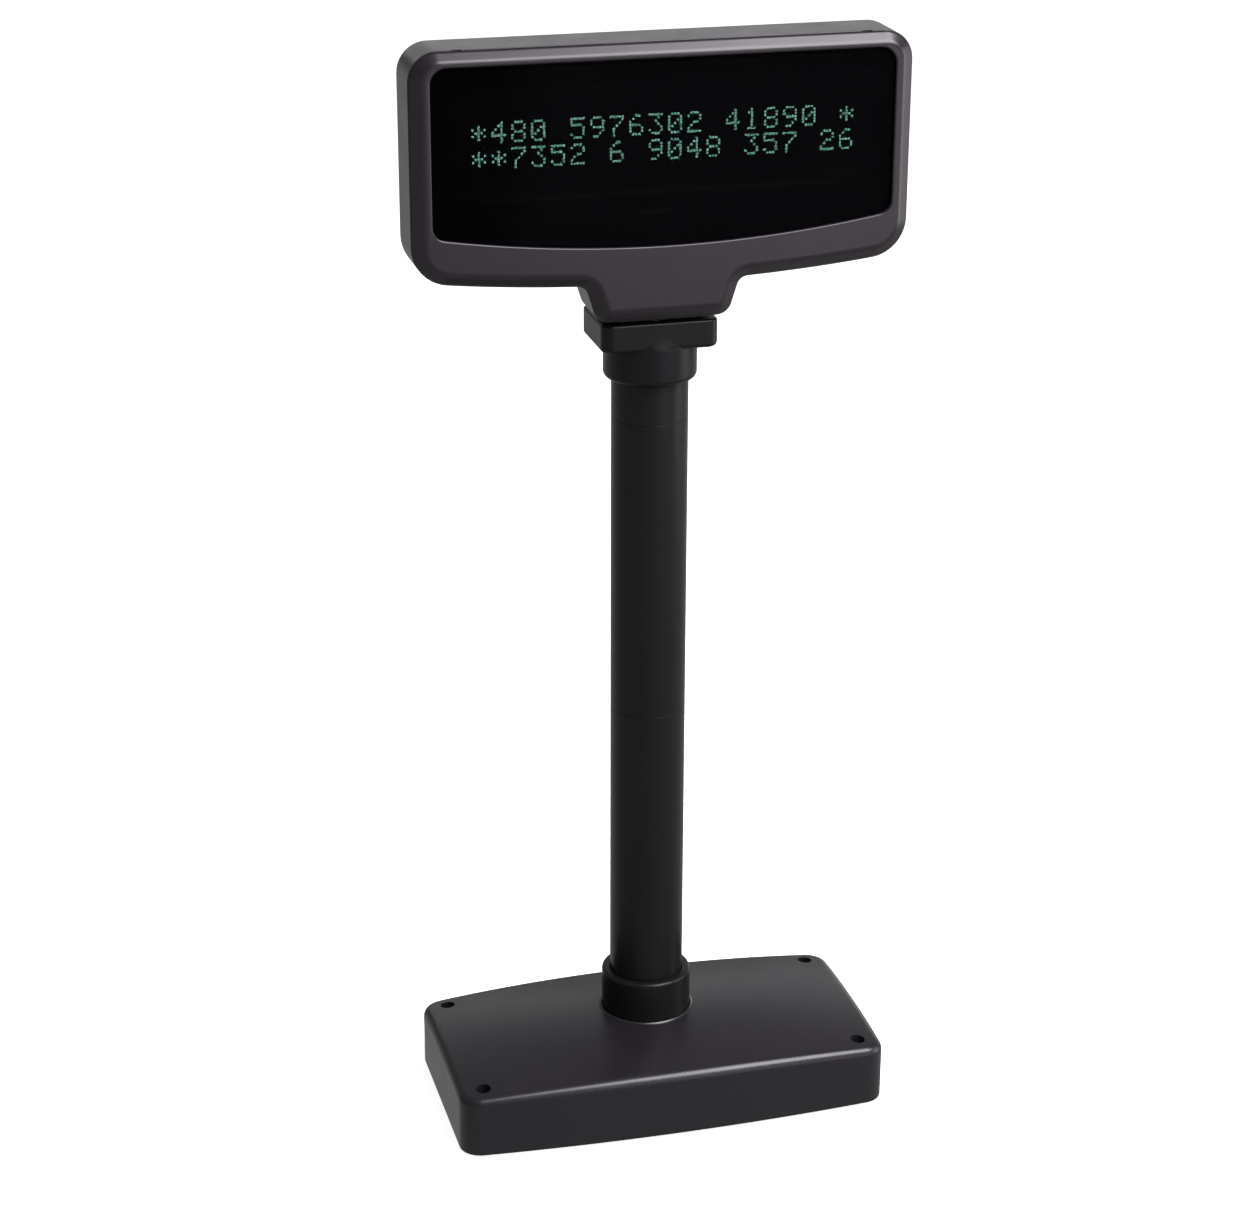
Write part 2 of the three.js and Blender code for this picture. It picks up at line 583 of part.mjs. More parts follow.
function driverBoard() {
  const { halfWidth, bottom, top, front, back } = BOARD;
  const board = slabY(rectangle([-halfWidth, halfWidth], [bottom, top], 2), [front, back]);
  const holes = [-1, 1].flatMap((side) => [BOARD_SCREW.low, BOARD_SCREW.high].map((z) => (
    rod('y', 1.6, [front - 1, back + 1], [side * BOARD_SCREW.x, z])
  )));
  return cut(board, ...holes);
}

function headHarness() {
  const points = [[0, 0, TILT_Z + 1], [0, 0, TILT_Z + 8], [0, -1.5, 412], [0, -4.5, 417], [0, -5, 421]]
    .map((point) => new THREE.Vector3(...point));
  const section = new THREE.Shape().absarc(0, 0, CORD_RADIUS, 0, 2 * Math.PI);
  const settings = { steps: 8, extrudePath: new THREE.CatmullRomCurve3(points), curveSegments: 4 };
  return toSolid(new THREE.ExtrudeGeometry(section, settings));
}

const componentFace = BOARD.back + GAP;           // where parts on the back of the board start
const onBoard = ([x0, x1], height, [z0, z1]) => box([x0, x1], [componentFace, componentFace + height], [z0, z1]);

place(column, 'front_bezel', frontBezel(), CASE());
place(column, 'rear_cover', rearCover(), CASE());
place(column, 'filter_window', slabY(inset(windowOutline(), -1.2), [HEAD.front + 2, HEAD.front + 3.5]), DARK_GLASS());
place(column, 'vfd_front_glass', tubeGlass([-21.2, -19.8]), GLASS());
place(column, 'vfd_spacer_frame', tubeSpacer([-19.5, -18.5]), GLASS());
place(column, 'vfd_rear_glass', tubeGlass([-18.2, -16.6]), DARK_GLASS());
place(column, 'vfd_lead_frame', leadFrame(), COPPER());
place(column, 'driver_board', driverBoard(), BOARD_GREEN());
place(column, 'controller_chip', onBoard([-22, -8], 2, [450, 464]), CHIP());
place(column, 'driver_chip_left', onBoard([-66, -46], 2.2, [440, 450]), CHIP());
place(column, 'driver_chip_right', onBoard([18, 38], 2.2, [440, 450]), CHIP());
place(column, 'converter_transformer', onBoard([54, 70], 9, [448, 464]), COPPER());
place(column, 'filter_capacitor', rod('y', 4, [componentFace, componentFace + 8], [40, 470], 16), CHIP());
place(column, 'board_header', onBoard([-8, 8], 6, [429.6, 437]), CONNECTOR());
place(column, 'head_plug', onBoard([-7, 7], 5.6, [421.3, 429.3]), CONNECTOR());
place(column, 'head_harness', headHarness(), CORD());

const towardsBack = [Math.PI / 2, 0, 0];          // turns a screw that points down to point backwards
const towardsFront = [-Math.PI / 2, 0, 0];
[-1, 1].flatMap((side) => [BOARD_SCREW.low, BOARD_SCREW.high].map((z) => [side * BOARD_SCREW.x, z]))
  .forEach(([x, z], i) => {
    const at = [x, BOARD.front - GAP, z];
    place(column, `board_screw_${i + 1}`, screw(2.8, 1.8, 1.1, 8), SCREW(), at, towardsBack);
  });
CASE_SCREWS.forEach(([x, z], i) => {
  const at = [x, HEAD.back - 1, z];
  place(column, `case_screw_${i + 1}`, screw(3, 0.8, 1.2, 14), SCREW(), at, towardsFront);
});

function tiltPin() {
  return turned([[0, 5], [HINGE.pin, 5], [HINGE.pin, 15.9], [5, 15.9], [5, 17.6], [4, 18.4], [0, 18.4]], 24);
}

function tiltNut() {
  const nut = toSolid(new THREE.CylinderGeometry(4.6, 4.6, 2.9, 6).rotateX(Math.PI / 2).translate(0, 0, 6.75));
  return cut(nut, rod('z', HINGE_CLEAR, [0, 10], [0, 0]));
}

[['left', -1], ['right', 1]].forEach(([name, side]) => {
  const turn = [0, side * Math.PI / 2, 0];
  const at = [0, 0, TILT_Z];
  place(column, `tilt_pin_${name}`, tiltPin(), SCREW(), at, turn);
  place(column, `friction_washer_${name}`, ring(HINGE_CLEAR, 6.5, [10.8, 11.8]), STEEL(), at, turn);
  place(column, `tilt_nut_${name}`, tiltNut(), STEEL(), at, turn);
});

export default display;
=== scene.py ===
import json
from math import atan2, cos, pi, radians, sin, tan

import bmesh
import bpy
from mathutils import Matrix, Vector


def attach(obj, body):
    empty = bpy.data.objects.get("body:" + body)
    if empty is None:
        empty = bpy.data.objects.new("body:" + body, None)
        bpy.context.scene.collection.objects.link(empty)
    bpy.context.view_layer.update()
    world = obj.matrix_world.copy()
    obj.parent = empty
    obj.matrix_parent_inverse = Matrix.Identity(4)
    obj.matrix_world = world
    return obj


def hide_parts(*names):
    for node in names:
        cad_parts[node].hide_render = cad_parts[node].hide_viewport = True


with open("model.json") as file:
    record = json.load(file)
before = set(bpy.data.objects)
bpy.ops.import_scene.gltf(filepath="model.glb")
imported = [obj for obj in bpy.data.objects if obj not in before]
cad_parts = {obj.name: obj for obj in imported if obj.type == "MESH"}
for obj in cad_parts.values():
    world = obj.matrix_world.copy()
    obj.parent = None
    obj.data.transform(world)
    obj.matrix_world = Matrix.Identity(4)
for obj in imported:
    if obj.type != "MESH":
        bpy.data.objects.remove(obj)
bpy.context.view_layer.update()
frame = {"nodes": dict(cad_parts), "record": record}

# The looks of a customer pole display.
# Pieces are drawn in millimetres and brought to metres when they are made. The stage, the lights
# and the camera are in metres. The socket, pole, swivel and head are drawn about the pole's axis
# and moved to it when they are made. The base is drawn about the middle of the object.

MM = 0.001
POLE_AXIS = Vector((0.0, 9.0, 0.0))
CENTRE = Vector((0.0, 0.0, 0.0))
CORNERS = ((-1, -1), (1, -1), (1, 1), (-1, 1))

ARC_STEPS = 10
PROFILE_STEPS = 5
ROUND_STEPS = 96
SMALL_ROUND_STEPS = 48
ON_AXIS = 1e-6
LEAST_RADIUS = 0.3

# ------------------------------------------------------------------ driving dimensions of the base

BASE_HALF = (101.25, 53.35)
BASE_BULGE = 4.5
BASE_CORNER = 10.0
BASE_LOW = 1.2
BASE_EDGE = 28.3
BASE_EDGE_RADIUS = 3.8
BASE_EDGE_TURN = 84.0
BASE_EDGE_RINGS = 12
BASE_WALL = 2.6
BASE_SIDE_PATH = (
    (BASE_WALL, BASE_LOW + 0.5),
    (BASE_WALL - 0.3, BASE_LOW),
    (0.5, BASE_LOW),
    (0.15, BASE_LOW + 0.15),
    (0.0, BASE_LOW + 0.5),
    (0.0, 2.5),
    (0.0, 12.0),
    (0.0, 23.0),
)
CROWN = (3.4, 2.8, 2.2)
CROWN_RINGS = 34
UNDERSIDE_RINGS = 12

COLLAR_FOOT = 21.1
LIP_REACH = 1.5
LIP_PATH = ((1.1, 0.06), (0.8, 0.22), (0.55, 0.48), (0.35, 0.62), (0.12, 0.62), (0.0, 0.5), (0.0, -BASE_WALL))

COVER_SCREW = (89.7, 40.0)
COVER_SCREW_SHELF = 10.0
PILLAR_RADIUS = 5.6
PILLAR_LOW = 5.0
SCREW_BORE = 3.4
SHAFT_BORE = 2.0
REAR_NOTCH = ((-97.5, -93.0), (BASE_HALF[1] - 7.5, BASE_HALF[1]), (20.5, 24.5))

OUTLET = (-62.0, 12.5)
OUTLET_HALF = (6.2, 4.6)
GROMMET_HALF = (7.2, 5.7)
GROMMET_CORNER = 3.0
GROMMET_DEPTH = 5.0
GROMMET_PATH = ((1.6, -GROMMET_DEPTH), (1.6, 0.4), (0.0, 0.4), (0.0, 0.8), (0.15, 1.15), (0.5, 1.35))
GROMMET_BORE = ((3.2, -GROMMET_DEPTH), (3.2, 0.9), (3.5, 1.25), (3.9, 1.35))

FOOT_PLACE = (78, 33)
FOOT_PROFILE = (
    (0, 0.35), (3.0, 0.35), (3.6, 0.0), (7.2, 0.0), (7.8, 0.25), (8.0, 0.7), (8.0, 1.4), (0, 1.4),
)

# ------------------------------------------------------------------ of the socket, pole and swivel

SOCKET_LOW = 5.0
SOCKET_TOP = 56.5
SOCKET_RADIUS = 20.8
SOCKET_BORE = 17.08
SOCKET_FLANGE = 32.0
FLANGE_THICK = 3
SOCKET_SEAT = 36.0
SOCKET_CABLE_BORE = 12.0

POLE_LOW = 36.3
POLE_RADIUS = 17.0
POLE_BORE = 14.4
SEAM_LOW = 191.0
SEAM_HIGH = 329.2
SEAM_GAP = 0.04
SEAM_EDGE = 0.12
SPIGOT_RADIUS = 14.1
SPIGOT_BORE = 11.6
SPIGOT_RISE = 14
SPIGOT_ROOT = 8
SHOULDER = 365.6
NECK_RADIUS = 12.0
NECK_BORE = 9.0
NECK_TOP = 374.8
NECK_ROOT = 22

BLOCK_HALF = 26.0
BLOCK_FRONT = -19.0
BLOCK_BACK = 19.5
BLOCK_LOW = 363.5
BLOCK_TOP = 376.2
BLOCK_CORNER = 5.0
BLOCK_LOW_EDGE = 2.0
BLOCK_TOP_EDGE = 1.3
COLLAR = 20.6
COLLAR_LOW = 347.2
COLLAR_SHOULDER = 364.5
COLLAR_TOP = 370.5
COLLAR_TOP_RADIUS = 18.6
SWIVEL_BORES = (
    ("pole_bore", 17.35, 346.0, 366.0, 0.0),
    ("neck_bore", 12.3, 365.0, 371.0, 0.0),
    ("pocket", 17.0, 369.6, 376.6, 0.6),
)
BRACKET_SCREWS = ((-16.8, -11.8), (16.8, -11.8), (16.8, 12.3), (-16.8, 12.3))
BRACKET_SCREW_Z = 377.3
BRACKET_HOLE = (1.5, 368.0, 377.0)

# ------------------------------------------------------------------ of the head and its display

TILT_Z = 392.2
BARREL = 13.6
BARREL_ARC = (-90, 8, 26)
HOUSING_HALF = 27.0
HOUSING_EDGE = 1.4
HOUSING_INNER_EDGE = 0.2
HOUSING_INNER_Y = -0.5
HOUSING_TOP = 431.0
HOUSING_LEAN = 1.2
LUG_SLOT = ((-11.6, 11.6), (-11.0, 20.0), (370.0, TILT_Z - 3.5))

HEAD_HALF = 108.6
HEAD_TOP = 497.6
HEAD_BOTTOM = 401.2
HEAD_MIDDLE = (HEAD_TOP + HEAD_BOTTOM) / 2
HEAD_TOP_CORNER = 13.0
HEAD_LOW_CORNER = 17.0
HEAD_SAG = 7.0
HEAD_BACK = 5.5
HEAD_BACK_EDGE = 3.2
HEAD_EDGE = -21.2
HEAD_FRONT = -25.05
HEAD_WALL = 2.4
TONGUE_TOP = 34.0
TONGUE_HALF = 28.9
TONGUE_LOW = 378.6
TONGUE_TOP_CORNER = 5.0
TONGUE_LOW_CORNER = 7.0

CASE_FRONT = -20.7
CASE_FRONT_INSET = 1.6
CASE_FRONT_EDGE = 0.35
CASE_HOLLOW_FRONT = -22.0
CASE_SCREWS = ((-84, 407.5), (-44, 404.0), (44, 404.0), (84, 407.5))
CASE_SCREW_HOLE = (1.8, 1.0, 8.0)
CASE_SCREW_RECESS = (3.4, HEAD_BACK - 1.3, HEAD_BACK + 0.3, 0.5)
SNAP_NOTCH_X = (-88.0, 88.0)
SNAP_NOTCH_HALF = 2.2
SNAP_NOTCH_Y = (-22.0, -19.9)
SNAP_NOTCH_Z = (HEAD_TOP - 0.7, HEAD_TOP + 1)

SKIRT_INSIDE = HEAD_WALL + 1.8
SKIRT_OUTSIDE = HEAD_WALL + 0.3
SKIRT_BACK = -17.0
SEAM_Y = -20.9
RIM_PATH = ((0.75, SEAM_Y), (0.6, -21.05))
RIM_INSET = 0.6
RIDGE_INSET = 6.4
RIDGE_TOP_RISE = 1.1
RIM_ROUNDING = ((0.0, 0.0), (0.03, 0.32), (0.09, 0.62))
BEVEL_SHARES = (0.16, 1.09, 20)
BEZEL_THICK = 4.2

WINDOW_HALF = 100.0
WINDOW_TOP = 491.0
WINDOW_BOTTOM = 420.3
WINDOW_SAG = 8.7
WINDOW_TOP_CORNER = 7.0
WINDOW_LOW_CORNER = 6.0
WINDOW_LIP = (
    (-0.8, 0.0), (-0.45, 0.06), (-0.15, 0.26), (0.0, 0.6), (0.0, 1.75), (-1.6, 1.75), (-1.6, BEZEL_THICK),
)
PANEL_OVERLAP = 1.2
PANEL_PATH = ((0.3, 2.05), (0.0, 2.3), (0.0, 3.3), (0.3, 3.5))

GLYPHS = {
    "0": ("01110", "10001", "10011", "10101", "11001", "10001", "01110"),
    "1": ("00100", "01100", "00100", "00100", "00100", "00100", "01110"),
    "2": ("01110", "10001", "00001", "00110", "01000", "10000", "11111"),
    "3": ("11111", "00010", "00100", "00010", "00001", "10001", "01110"),
    "4": ("00010", "00110", "01010", "10010", "11111", "00010", "00010"),
    "5": ("11111", "10000", "11110", "00001", "00001", "10001", "01110"),
    "6": ("00110", "01000", "10000", "11110", "10001", "10001", "01110"),
    "7": ("11111", "00001", "00010", "00100", "01000", "01000", "01000"),
    "8": ("01110", "10001", "10001", "01110", "10001", "10001", "01110"),
    "9": ("01110", "10001", "10001", "01111", "00001", "00010", "01100"),
    "*": ("00000", "00100", "10101", "01110", "10101", "00100", "00000"),
}
ROWS = (("*480 5976302 41890 *", 467.0), ("**7352 6 9048 357 26", 456.1))
FIRST_CHARACTER = -81.9
CHARACTER_PITCH = 8.39
DOT_PITCH = (6.3 / 5, 9.2 / 7)
DOT_FILL = 0.72
DOT_LAYER = (-18.5, -18.35)


# ------------------------------------------------------------------ outlines and profiles

def inset(corners, distance):
    """Counter-clockwise (x, y, radius) corners, moved inwards by distance."""
    moved = []
    for i, (x, y, radius) in enumerate(corners):
        before_x, before_y, _ = corners[i - 1]
        after_x, after_y, _ = corners[(i + 1) % len(corners)]
        before = Vector((before_y - y, x - before_x)).normalized()
        after = Vector((y - after_y, after_x - x)).normalized()
        reach = distance / (1 + before.dot(after))
        hollow = before.x * after.y - before.y * after.x < 0
        new_radius = max(radius + (distance if hollow else -distance), LEAST_RADIUS) if radius else 0
        moved.append((x + (before.x + after.x) * reach, y + (before.y + after.y) * reach, new_radius))
    return moved


def fillet(before, corner, after, radius, steps):
    """Points along the arc of that radius which rounds one corner of an outline or a profile."""
    point = Vector(corner)
    back = (Vector(before) - point).normalized()
    ahead = (Vector(after) - point).normalized()
    half_angle = back.angle(ahead) / 2
    middle = point + (back + ahead).normalized() * (radius / sin(half_angle))
    start = point + back * (radius / tan(half_angle)) - middle
    end = point + ahead * (radius / tan(half_angle)) - middle
    sweep = atan2(start.x * end.y - start.y * end.x, start.dot(end))
    points = []
    for i in range(steps + 1):
        turn = sweep * i / steps
        x = start.x * cos(turn) - start.y * sin(turn)
        y = start.x * sin(turn) + start.y * cos(turn)
        points.append((middle.x + x, middle.y + y))
    return points


def rounded(corners, steps=ARC_STEPS):
    """The points of a closed outline of (x, y, radius) corners."""
    points = []
    for i, (x, y, radius) in enumerate(corners):
        if radius:
            points += fillet(corners[i - 1][:2], (x, y), corners[(i + 1) % len(corners)][:2], radius, steps)
        else:
            points.append((x, y))
    return points


def rounded_path(corners, steps=PROFILE_STEPS):
    """The points of an open profile of (x, y, radius) corners, whose ends are not rounded."""
    points = [corners[0][:2]]
    for before, (x, y, radius), after in zip(corners, corners[1:], corners[2:]):
        points += fillet(before[:2], (x, y), after[:2], radius, steps) if radius else [(x, y)]
    return points + [corners[-1][:2]]


def spread(low, high, count):
    """Evenly spaced numbers from low to high."""
    return [low + (high - low) * i / (count - 1) for i in range(count)]


def span(middle, half):
    """The (low, high) pair round a middle."""
    return (middle - half, middle + half)


def shallow_arc(half_width, height, sag, places):
    """Points of an arc that drops by sag in its middle."""
    return [(place * half_width, height - sag * (1 - place * place), 0) for place in places]


def mirrored(points, x_sign, y_sign):
    return [(x_sign * x, y_sign * y, radius) for x, y, radius in points]


def base_outline():
    """A rectangle whose front and back bulge, with its straight sides cut into short lengths."""
    half_x, half_y = BASE_HALF
    side_y = half_y - BASE_BULGE
    front = shallow_arc(half_x, -side_y, BASE_BULGE, spread(-0.84, 0.84, 41))
    right = [(half_x, y, 0) for y in spread(-0.74 * side_y, 0.74 * side_y, 21)]
    return (
        [(-half_x, -side_y, BASE_CORNER)] + front
        + [(half_x, -side_y, BASE_CORNER)] + right
        + [(half_x, side_y, BASE_CORNER)] + mirrored(front, -1, -1)
        + [(-half_x, side_y, BASE_CORNER)] + mirrored(right, -1, -1)
    )


def head_outline():
    """The head seen from the front: a rounded rectangle with a sagging lower edge and a tongue."""
    left = shallow_arc(HEAD_HALF, HEAD_BOTTOM, HEAD_SAG, spread(-0.8, -0.44, 9))
    right = mirrored(reversed(left), -1, 1)
    tongue_top = HEAD_BOTTOM - HEAD_SAG * (1 - (TONGUE_TOP / HEAD_HALF) ** 2)
    tongue = [
        (-TONGUE_TOP, tongue_top, TONGUE_TOP_CORNER),
        (-TONGUE_HALF, TONGUE_LOW, TONGUE_LOW_CORNER),
        (TONGUE_HALF, TONGUE_LOW, TONGUE_LOW_CORNER),
        (TONGUE_TOP, tongue_top, TONGUE_TOP_CORNER),
    ]
    return (
        [(-HEAD_HALF, HEAD_TOP, HEAD_TOP_CORNER), (-HEAD_HALF, HEAD_BOTTOM, HEAD_LOW_CORNER)]
        + left + tongue + right
        + [(HEAD_HALF, HEAD_BOTTOM, HEAD_LOW_CORNER), (HEAD_HALF, HEAD_TOP, HEAD_TOP_CORNER)]
    )


def window_outline():
    bottom = shallow_arc(WINDOW_HALF, WINDOW_BOTTOM, WINDOW_SAG, spread(-0.88, 0.88, 25))
    return (
        [(-WINDOW_HALF, WINDOW_TOP, WINDOW_TOP_CORNER), (-WINDOW_HALF, WINDOW_BOTTOM, WINDOW_LOW_CORNER)]
        + bottom
        + [(WINDOW_HALF, WINDOW_BOTTOM, WINDOW_LOW_CORNER), (WINDOW_HALF, WINDOW_TOP, WINDOW_TOP_CORNER)]
    )


def rectangle(left, right, low, high, radius):
    return [(left, low, radius), (right, low, radius), (right, high, radius), (left, high, radius)]


def circle(radius, centre=(0.0, 0.0), steps=ROUND_STEPS):
    turns = [2 * pi * i / steps for i in range(steps)]
    return [(centre[0] + radius * cos(turn), centre[1] + radius * sin(turn)) for turn in turns]


def level_rings(outline, path):
    """One ring for each (inset, height) step of a path, from an outline seen from above."""
    return [[(x, y, z) for x, y in rounded(inset(outline, depth))] for depth, z in path]


def upright_rings(outline, path):
    """One ring for each (inset, y) step of a path, from an outline seen from the front."""
    return [[(x, y, z) for x, z in rounded(inset(outline, depth))] for depth, y in path]


def shifted(path, start):
    """A path of (inset, distance) steps whose distances count from start."""
    return [(depth, start + distance) for depth, distance in path]


# ------------------------------------------------------------------ meshes

def add_loops(bm, rings):
    """One loop of vertices for each ring of 3-D points, joined to the next by quads."""
    loops = [[bm.verts.new(point) for point in ring] for ring in rings]
    for first, second in zip(loops, loops[1:]):
        join_loops(bm, first, second)
    return loops


def join_loops(bm, first, second):
    count = len(first)
    for i in range(count):
        j = (i + 1) % count
        bm.faces.new((first[i], first[j], second[j], second[i]))


def fill_between(bm, first, second):
    """Fills the flat region between two closed loops of vertices."""
    bm.edges.ensure_lookup_table()
    edges = []
    for loop in (first, second):
        for i, vertex in enumerate(loop):
            other = loop[(i + 1) % len(loop)]
            edges.append(bm.edges.get((vertex, other)) or bm.edges.new((vertex, other)))
    bmesh.ops.triangle_fill(bm, use_beauty=True, use_dissolve=False, edges=edges)


def capped(bm, rings):
    """A closed solid whose first and last rings are filled."""
    loops = add_loops(bm, rings)
    bm.faces.new(loops[0])
    bm.faces.new(loops[-1])


def lathe(bm, profile, steps=ROUND_STEPS):
    """Turns a profile of (radius, height) points about Z. It starts and ends on the axis or closes."""
    loops = []
    for radius, height in profile:
        if radius < ON_AXIS:
            loops.append([bm.verts.new((0, 0, height))])
        else:
            loops.append([bm.verts.new((x, y, height)) for x, y in circle(radius, steps=steps)])
    closes = len(loops[0]) > 1
    for first, second in zip(loops, loops[1:] + (loops[:1] if closes else [])):
        if len(first) == 1 and len(second) == 1:
            continue
        if len(first) > 1 and len(second) > 1:
            join_loops(bm, first, second)
            continue
        tip, rim = (first, second) if len(first) == 1 else (second, first)
        for i in range(len(rim)):
            bm.faces.new((tip[0], rim[i], rim[(i + 1) % len(rim)]))


def block(bm, x, y, z):
    """A box from three (low, high) pairs."""
    size = [pair[1] - pair[0] for pair in (x, y, z)]
    middle = [(pair[0] + pair[1]) / 2 for pair in (x, y, z)]
    place = Matrix.Translation(middle) @ Matrix.Diagonal((*size, 1))
    bmesh.ops.create_cube(bm, size=1, matrix=place)


def rod(bm, radius, low, high, chamfer=0.0, steps=SMALL_ROUND_STEPS):
    """An upright cylinder, with an optional cone that widens its top end by the chamfer."""
    lower = [(0, low), (radius, low)]
    upper = [(radius, high - chamfer), (radius + chamfer, high)] if chamfer else [(radius, high)]
    lathe(bm, lower + upper + [(0, high)], steps)


def mesh_from(bm, name):
    bmesh.ops.recalc_face_normals(bm, faces=bm.faces)
    mesh = bpy.data.meshes.new(name)
    bm.to_mesh(mesh)
    bm.free()
    return mesh


def draft(name, build, *arguments, matrix=None):
    """A loose object in millimetres, to cut with or to be made into a piece."""
    bm = bmesh.new()
    build(bm, *arguments)
    if matrix is not None:
        bmesh.ops.transform(bm, matrix=matrix, verts=bm.verts)
    thing = bpy.data.objects.new(name, mesh_from(bm, name))
    bpy.context.scene.collection.objects.link(thing)
    return thing


def combine(thing, tools, operation):
    """Joins the tools to a loose object or cuts them from it, and removes them."""
    for tool in tools:
        modifier = thing.modifiers.new("combine", "BOOLEAN")
        modifier.object = tool
        modifier.operation = operation
        modifier.solver = "MANIFOLD"
    shown = thing.evaluated_get(bpy.context.evaluated_depsgraph_get())
    mesh = bpy.data.meshes.new_from_object(shown)
    thing.modifiers.clear()
    thing.data = mesh
    for tool in tools:
        bpy.data.objects.remove(tool)
    return thing


def finish_piece(thing, body, material, replaced=(), centre=POLE_AXIS, sharp=32.0, weight=100):
    """Brings a loose object to metres, shades it smooth between sharp edges, and fits it to the frame."""
    bm = bmesh.new()
    bm.from_mesh(thing.data)
    bmesh.ops.translate(bm, vec=centre, verts=bm.verts)
    bmesh.ops.scale(bm, vec=(MM, MM, MM), verts=bm.verts)
    for face in bm.faces:
        face.smooth = True
    for edge in bm.edges:
        edge.smooth = len(edge.link_faces) != 2 or edge.calc_face_angle(0.0) < radians(sharp)
    bm.to_mesh(thing.data)
    bm.free()
    thing.data.materials.clear()
    thing.data.materials.append(material)
    normals = thing.modifiers.new("normals", "WEIGHTED_NORMAL")
    normals.keep_sharp = True
    normals.weight = weight
    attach(thing, body)
    if replaced:
        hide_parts(*replaced)
    return thing


# ------------------------------------------------------------------ materials

# Noise scales are in waves for each metre, and bump heights are in metres.
SHADE_SCALE = 14.0
GLOSS_SCALE = 60.0
PLASTIC_GRAIN_SCALE = 2600.0
PLASTIC_GRAIN_HEIGHT = 0.00004
METAL_SHADE_SCALE = 90.0
METAL_GRAIN_HEIGHT = 0.00003
RUBBER_GRAIN_SCALE = 1200.0
RUBBER_GRAIN_HEIGHT = 0.00006
RUBBER_SHADE_SCALE = 50.0
DOT_SHADE_SCALE = 420.0

# Sockets of a Mix node that mixes colours.
MIX_FACTOR, MIX_FIRST, MIX_SECOND, MIX_RESULT = 0, 6, 7, 2


def new_material(name, color, roughness, metallic=0.0, specular=0.5):
    material = bpy.data.materials.new(name)
    material.use_nodes = True
    shader = material.node_tree.nodes["Principled BSDF"]
    shader.inputs["Base Color"].default_value = (*color, 1)
    shader.inputs["Roughness"].default_value = roughness
    shader.inputs["Metallic"].default_value = metallic
    shader.inputs["Specular IOR Level"].default_value = specular
    return material, material.node_tree, shader


def tint_gloss(material, tint):
    material.node_tree.nodes["Principled BSDF"].inputs["Specular Tint"].default_value = (*tint, 1)
    return material


def noise(tree, scale, detail=3.0, stretch=(1, 1, 1)):
    """Noise in the object's own metres, so that its grain keeps its real size."""
    place = tree.nodes.new("ShaderNodeTexCoord")
    mapping = tree.nodes.new("ShaderNodeMapping")
    mapping.inputs["Scale"].default_value = stretch
    texture = tree.nodes.new("ShaderNodeTexNoise")
    texture.inputs["Scale"].default_value = scale
    texture.inputs["Detail"].default_value = detail
    tree.links.new(place.outputs["Object"], mapping.inputs["Vector"])
    tree.links.new(mapping.outputs["Vector"], texture.inputs["Vector"])
    return texture.outputs["Fac"]


def remap(tree, value, low, high, usual=(0.3, 0.7)):
    """A value's usual range, stretched to run from low to high."""
    node = tree.nodes.new("ShaderNodeMapRange")
    node.inputs["From Min"].default_value, node.inputs["From Max"].default_value = usual
    node.inputs["To Min"].default_value = low
    node.inputs["To Max"].default_value = high
    tree.links.new(value, node.inputs["Value"])
    return node.outputs["Result"]


def vary_color(tree, value, first, second, socket):
    """Feeds a colour socket from the first colour, at value 0, to the second, at 1."""
    mix = tree.nodes.new("ShaderNodeMix")
    mix.data_type = "RGBA"
    mix.inputs[MIX_FIRST].default_value = (*first, 1)
    mix.inputs[MIX_SECOND].default_value = (*second, 1)
    tree.links.new(value, mix.inputs[MIX_FACTOR])
    tree.links.new(mix.outputs[MIX_RESULT], socket)


def add_bump(tree, shader, height, strength, distance):
    bump = tree.nodes.new("ShaderNodeBump")
    bump.inputs["Strength"].default_value = strength
    bump.inputs["Distance"].default_value = distance
    tree.links.new(height, bump.inputs["Height"])
    tree.links.new(bump.outputs["Normal"], shader.inputs["Normal"])


def plastic(name, color, roughness, grain=0.12, specular=0.5):
    """Moulded plastic: a fine spark-eroded grain, and slow changes of shade and gloss."""
    material, tree, shader = new_material(name, color, roughness, specular=specular)
    shade = remap(tree, noise(tree, SHADE_SCALE, 2.0), 0.0, 1.0)
    dark = [channel * 0.92 for channel in color]
    light = [channel * 1.08 for channel in color]
    vary_color(tree, shade, dark, light, shader.inputs["Base Color"])
    gloss = noise(tree, GLOSS_SCALE, 4.0)
    tree.links.new(remap(tree, gloss, roughness * 0.93, roughness * 1.07), shader.inputs["Roughness"])
    add_bump(tree, shader, noise(tree, PLASTIC_GRAIN_SCALE, 2.0), grain, PLASTIC_GRAIN_HEIGHT)
    return material


def metal(name, color, roughness, grain_scale=900.0, stretch=(1, 1, 1)):
    """Metal whose gloss and fine relief follow one grain, with slow changes of shade."""
    material, tree, shader = new_material(name, color, roughness, metallic=1.0)
    grain = noise(tree, grain_scale, 3.0, stretch)
    tree.links.new(remap(tree, grain, roughness * 0.75, roughness * 1.3), shader.inputs["Roughness"])
    shade = remap(tree, noise(tree, METAL_SHADE_SCALE), 0.0, 1.0)
    dark = [channel * 0.85 for channel in color]
    vary_color(tree, shade, dark, color, shader.inputs["Base Color"])
    add_bump(tree, shader, grain, 0.15, METAL_GRAIN_HEIGHT)
    return material


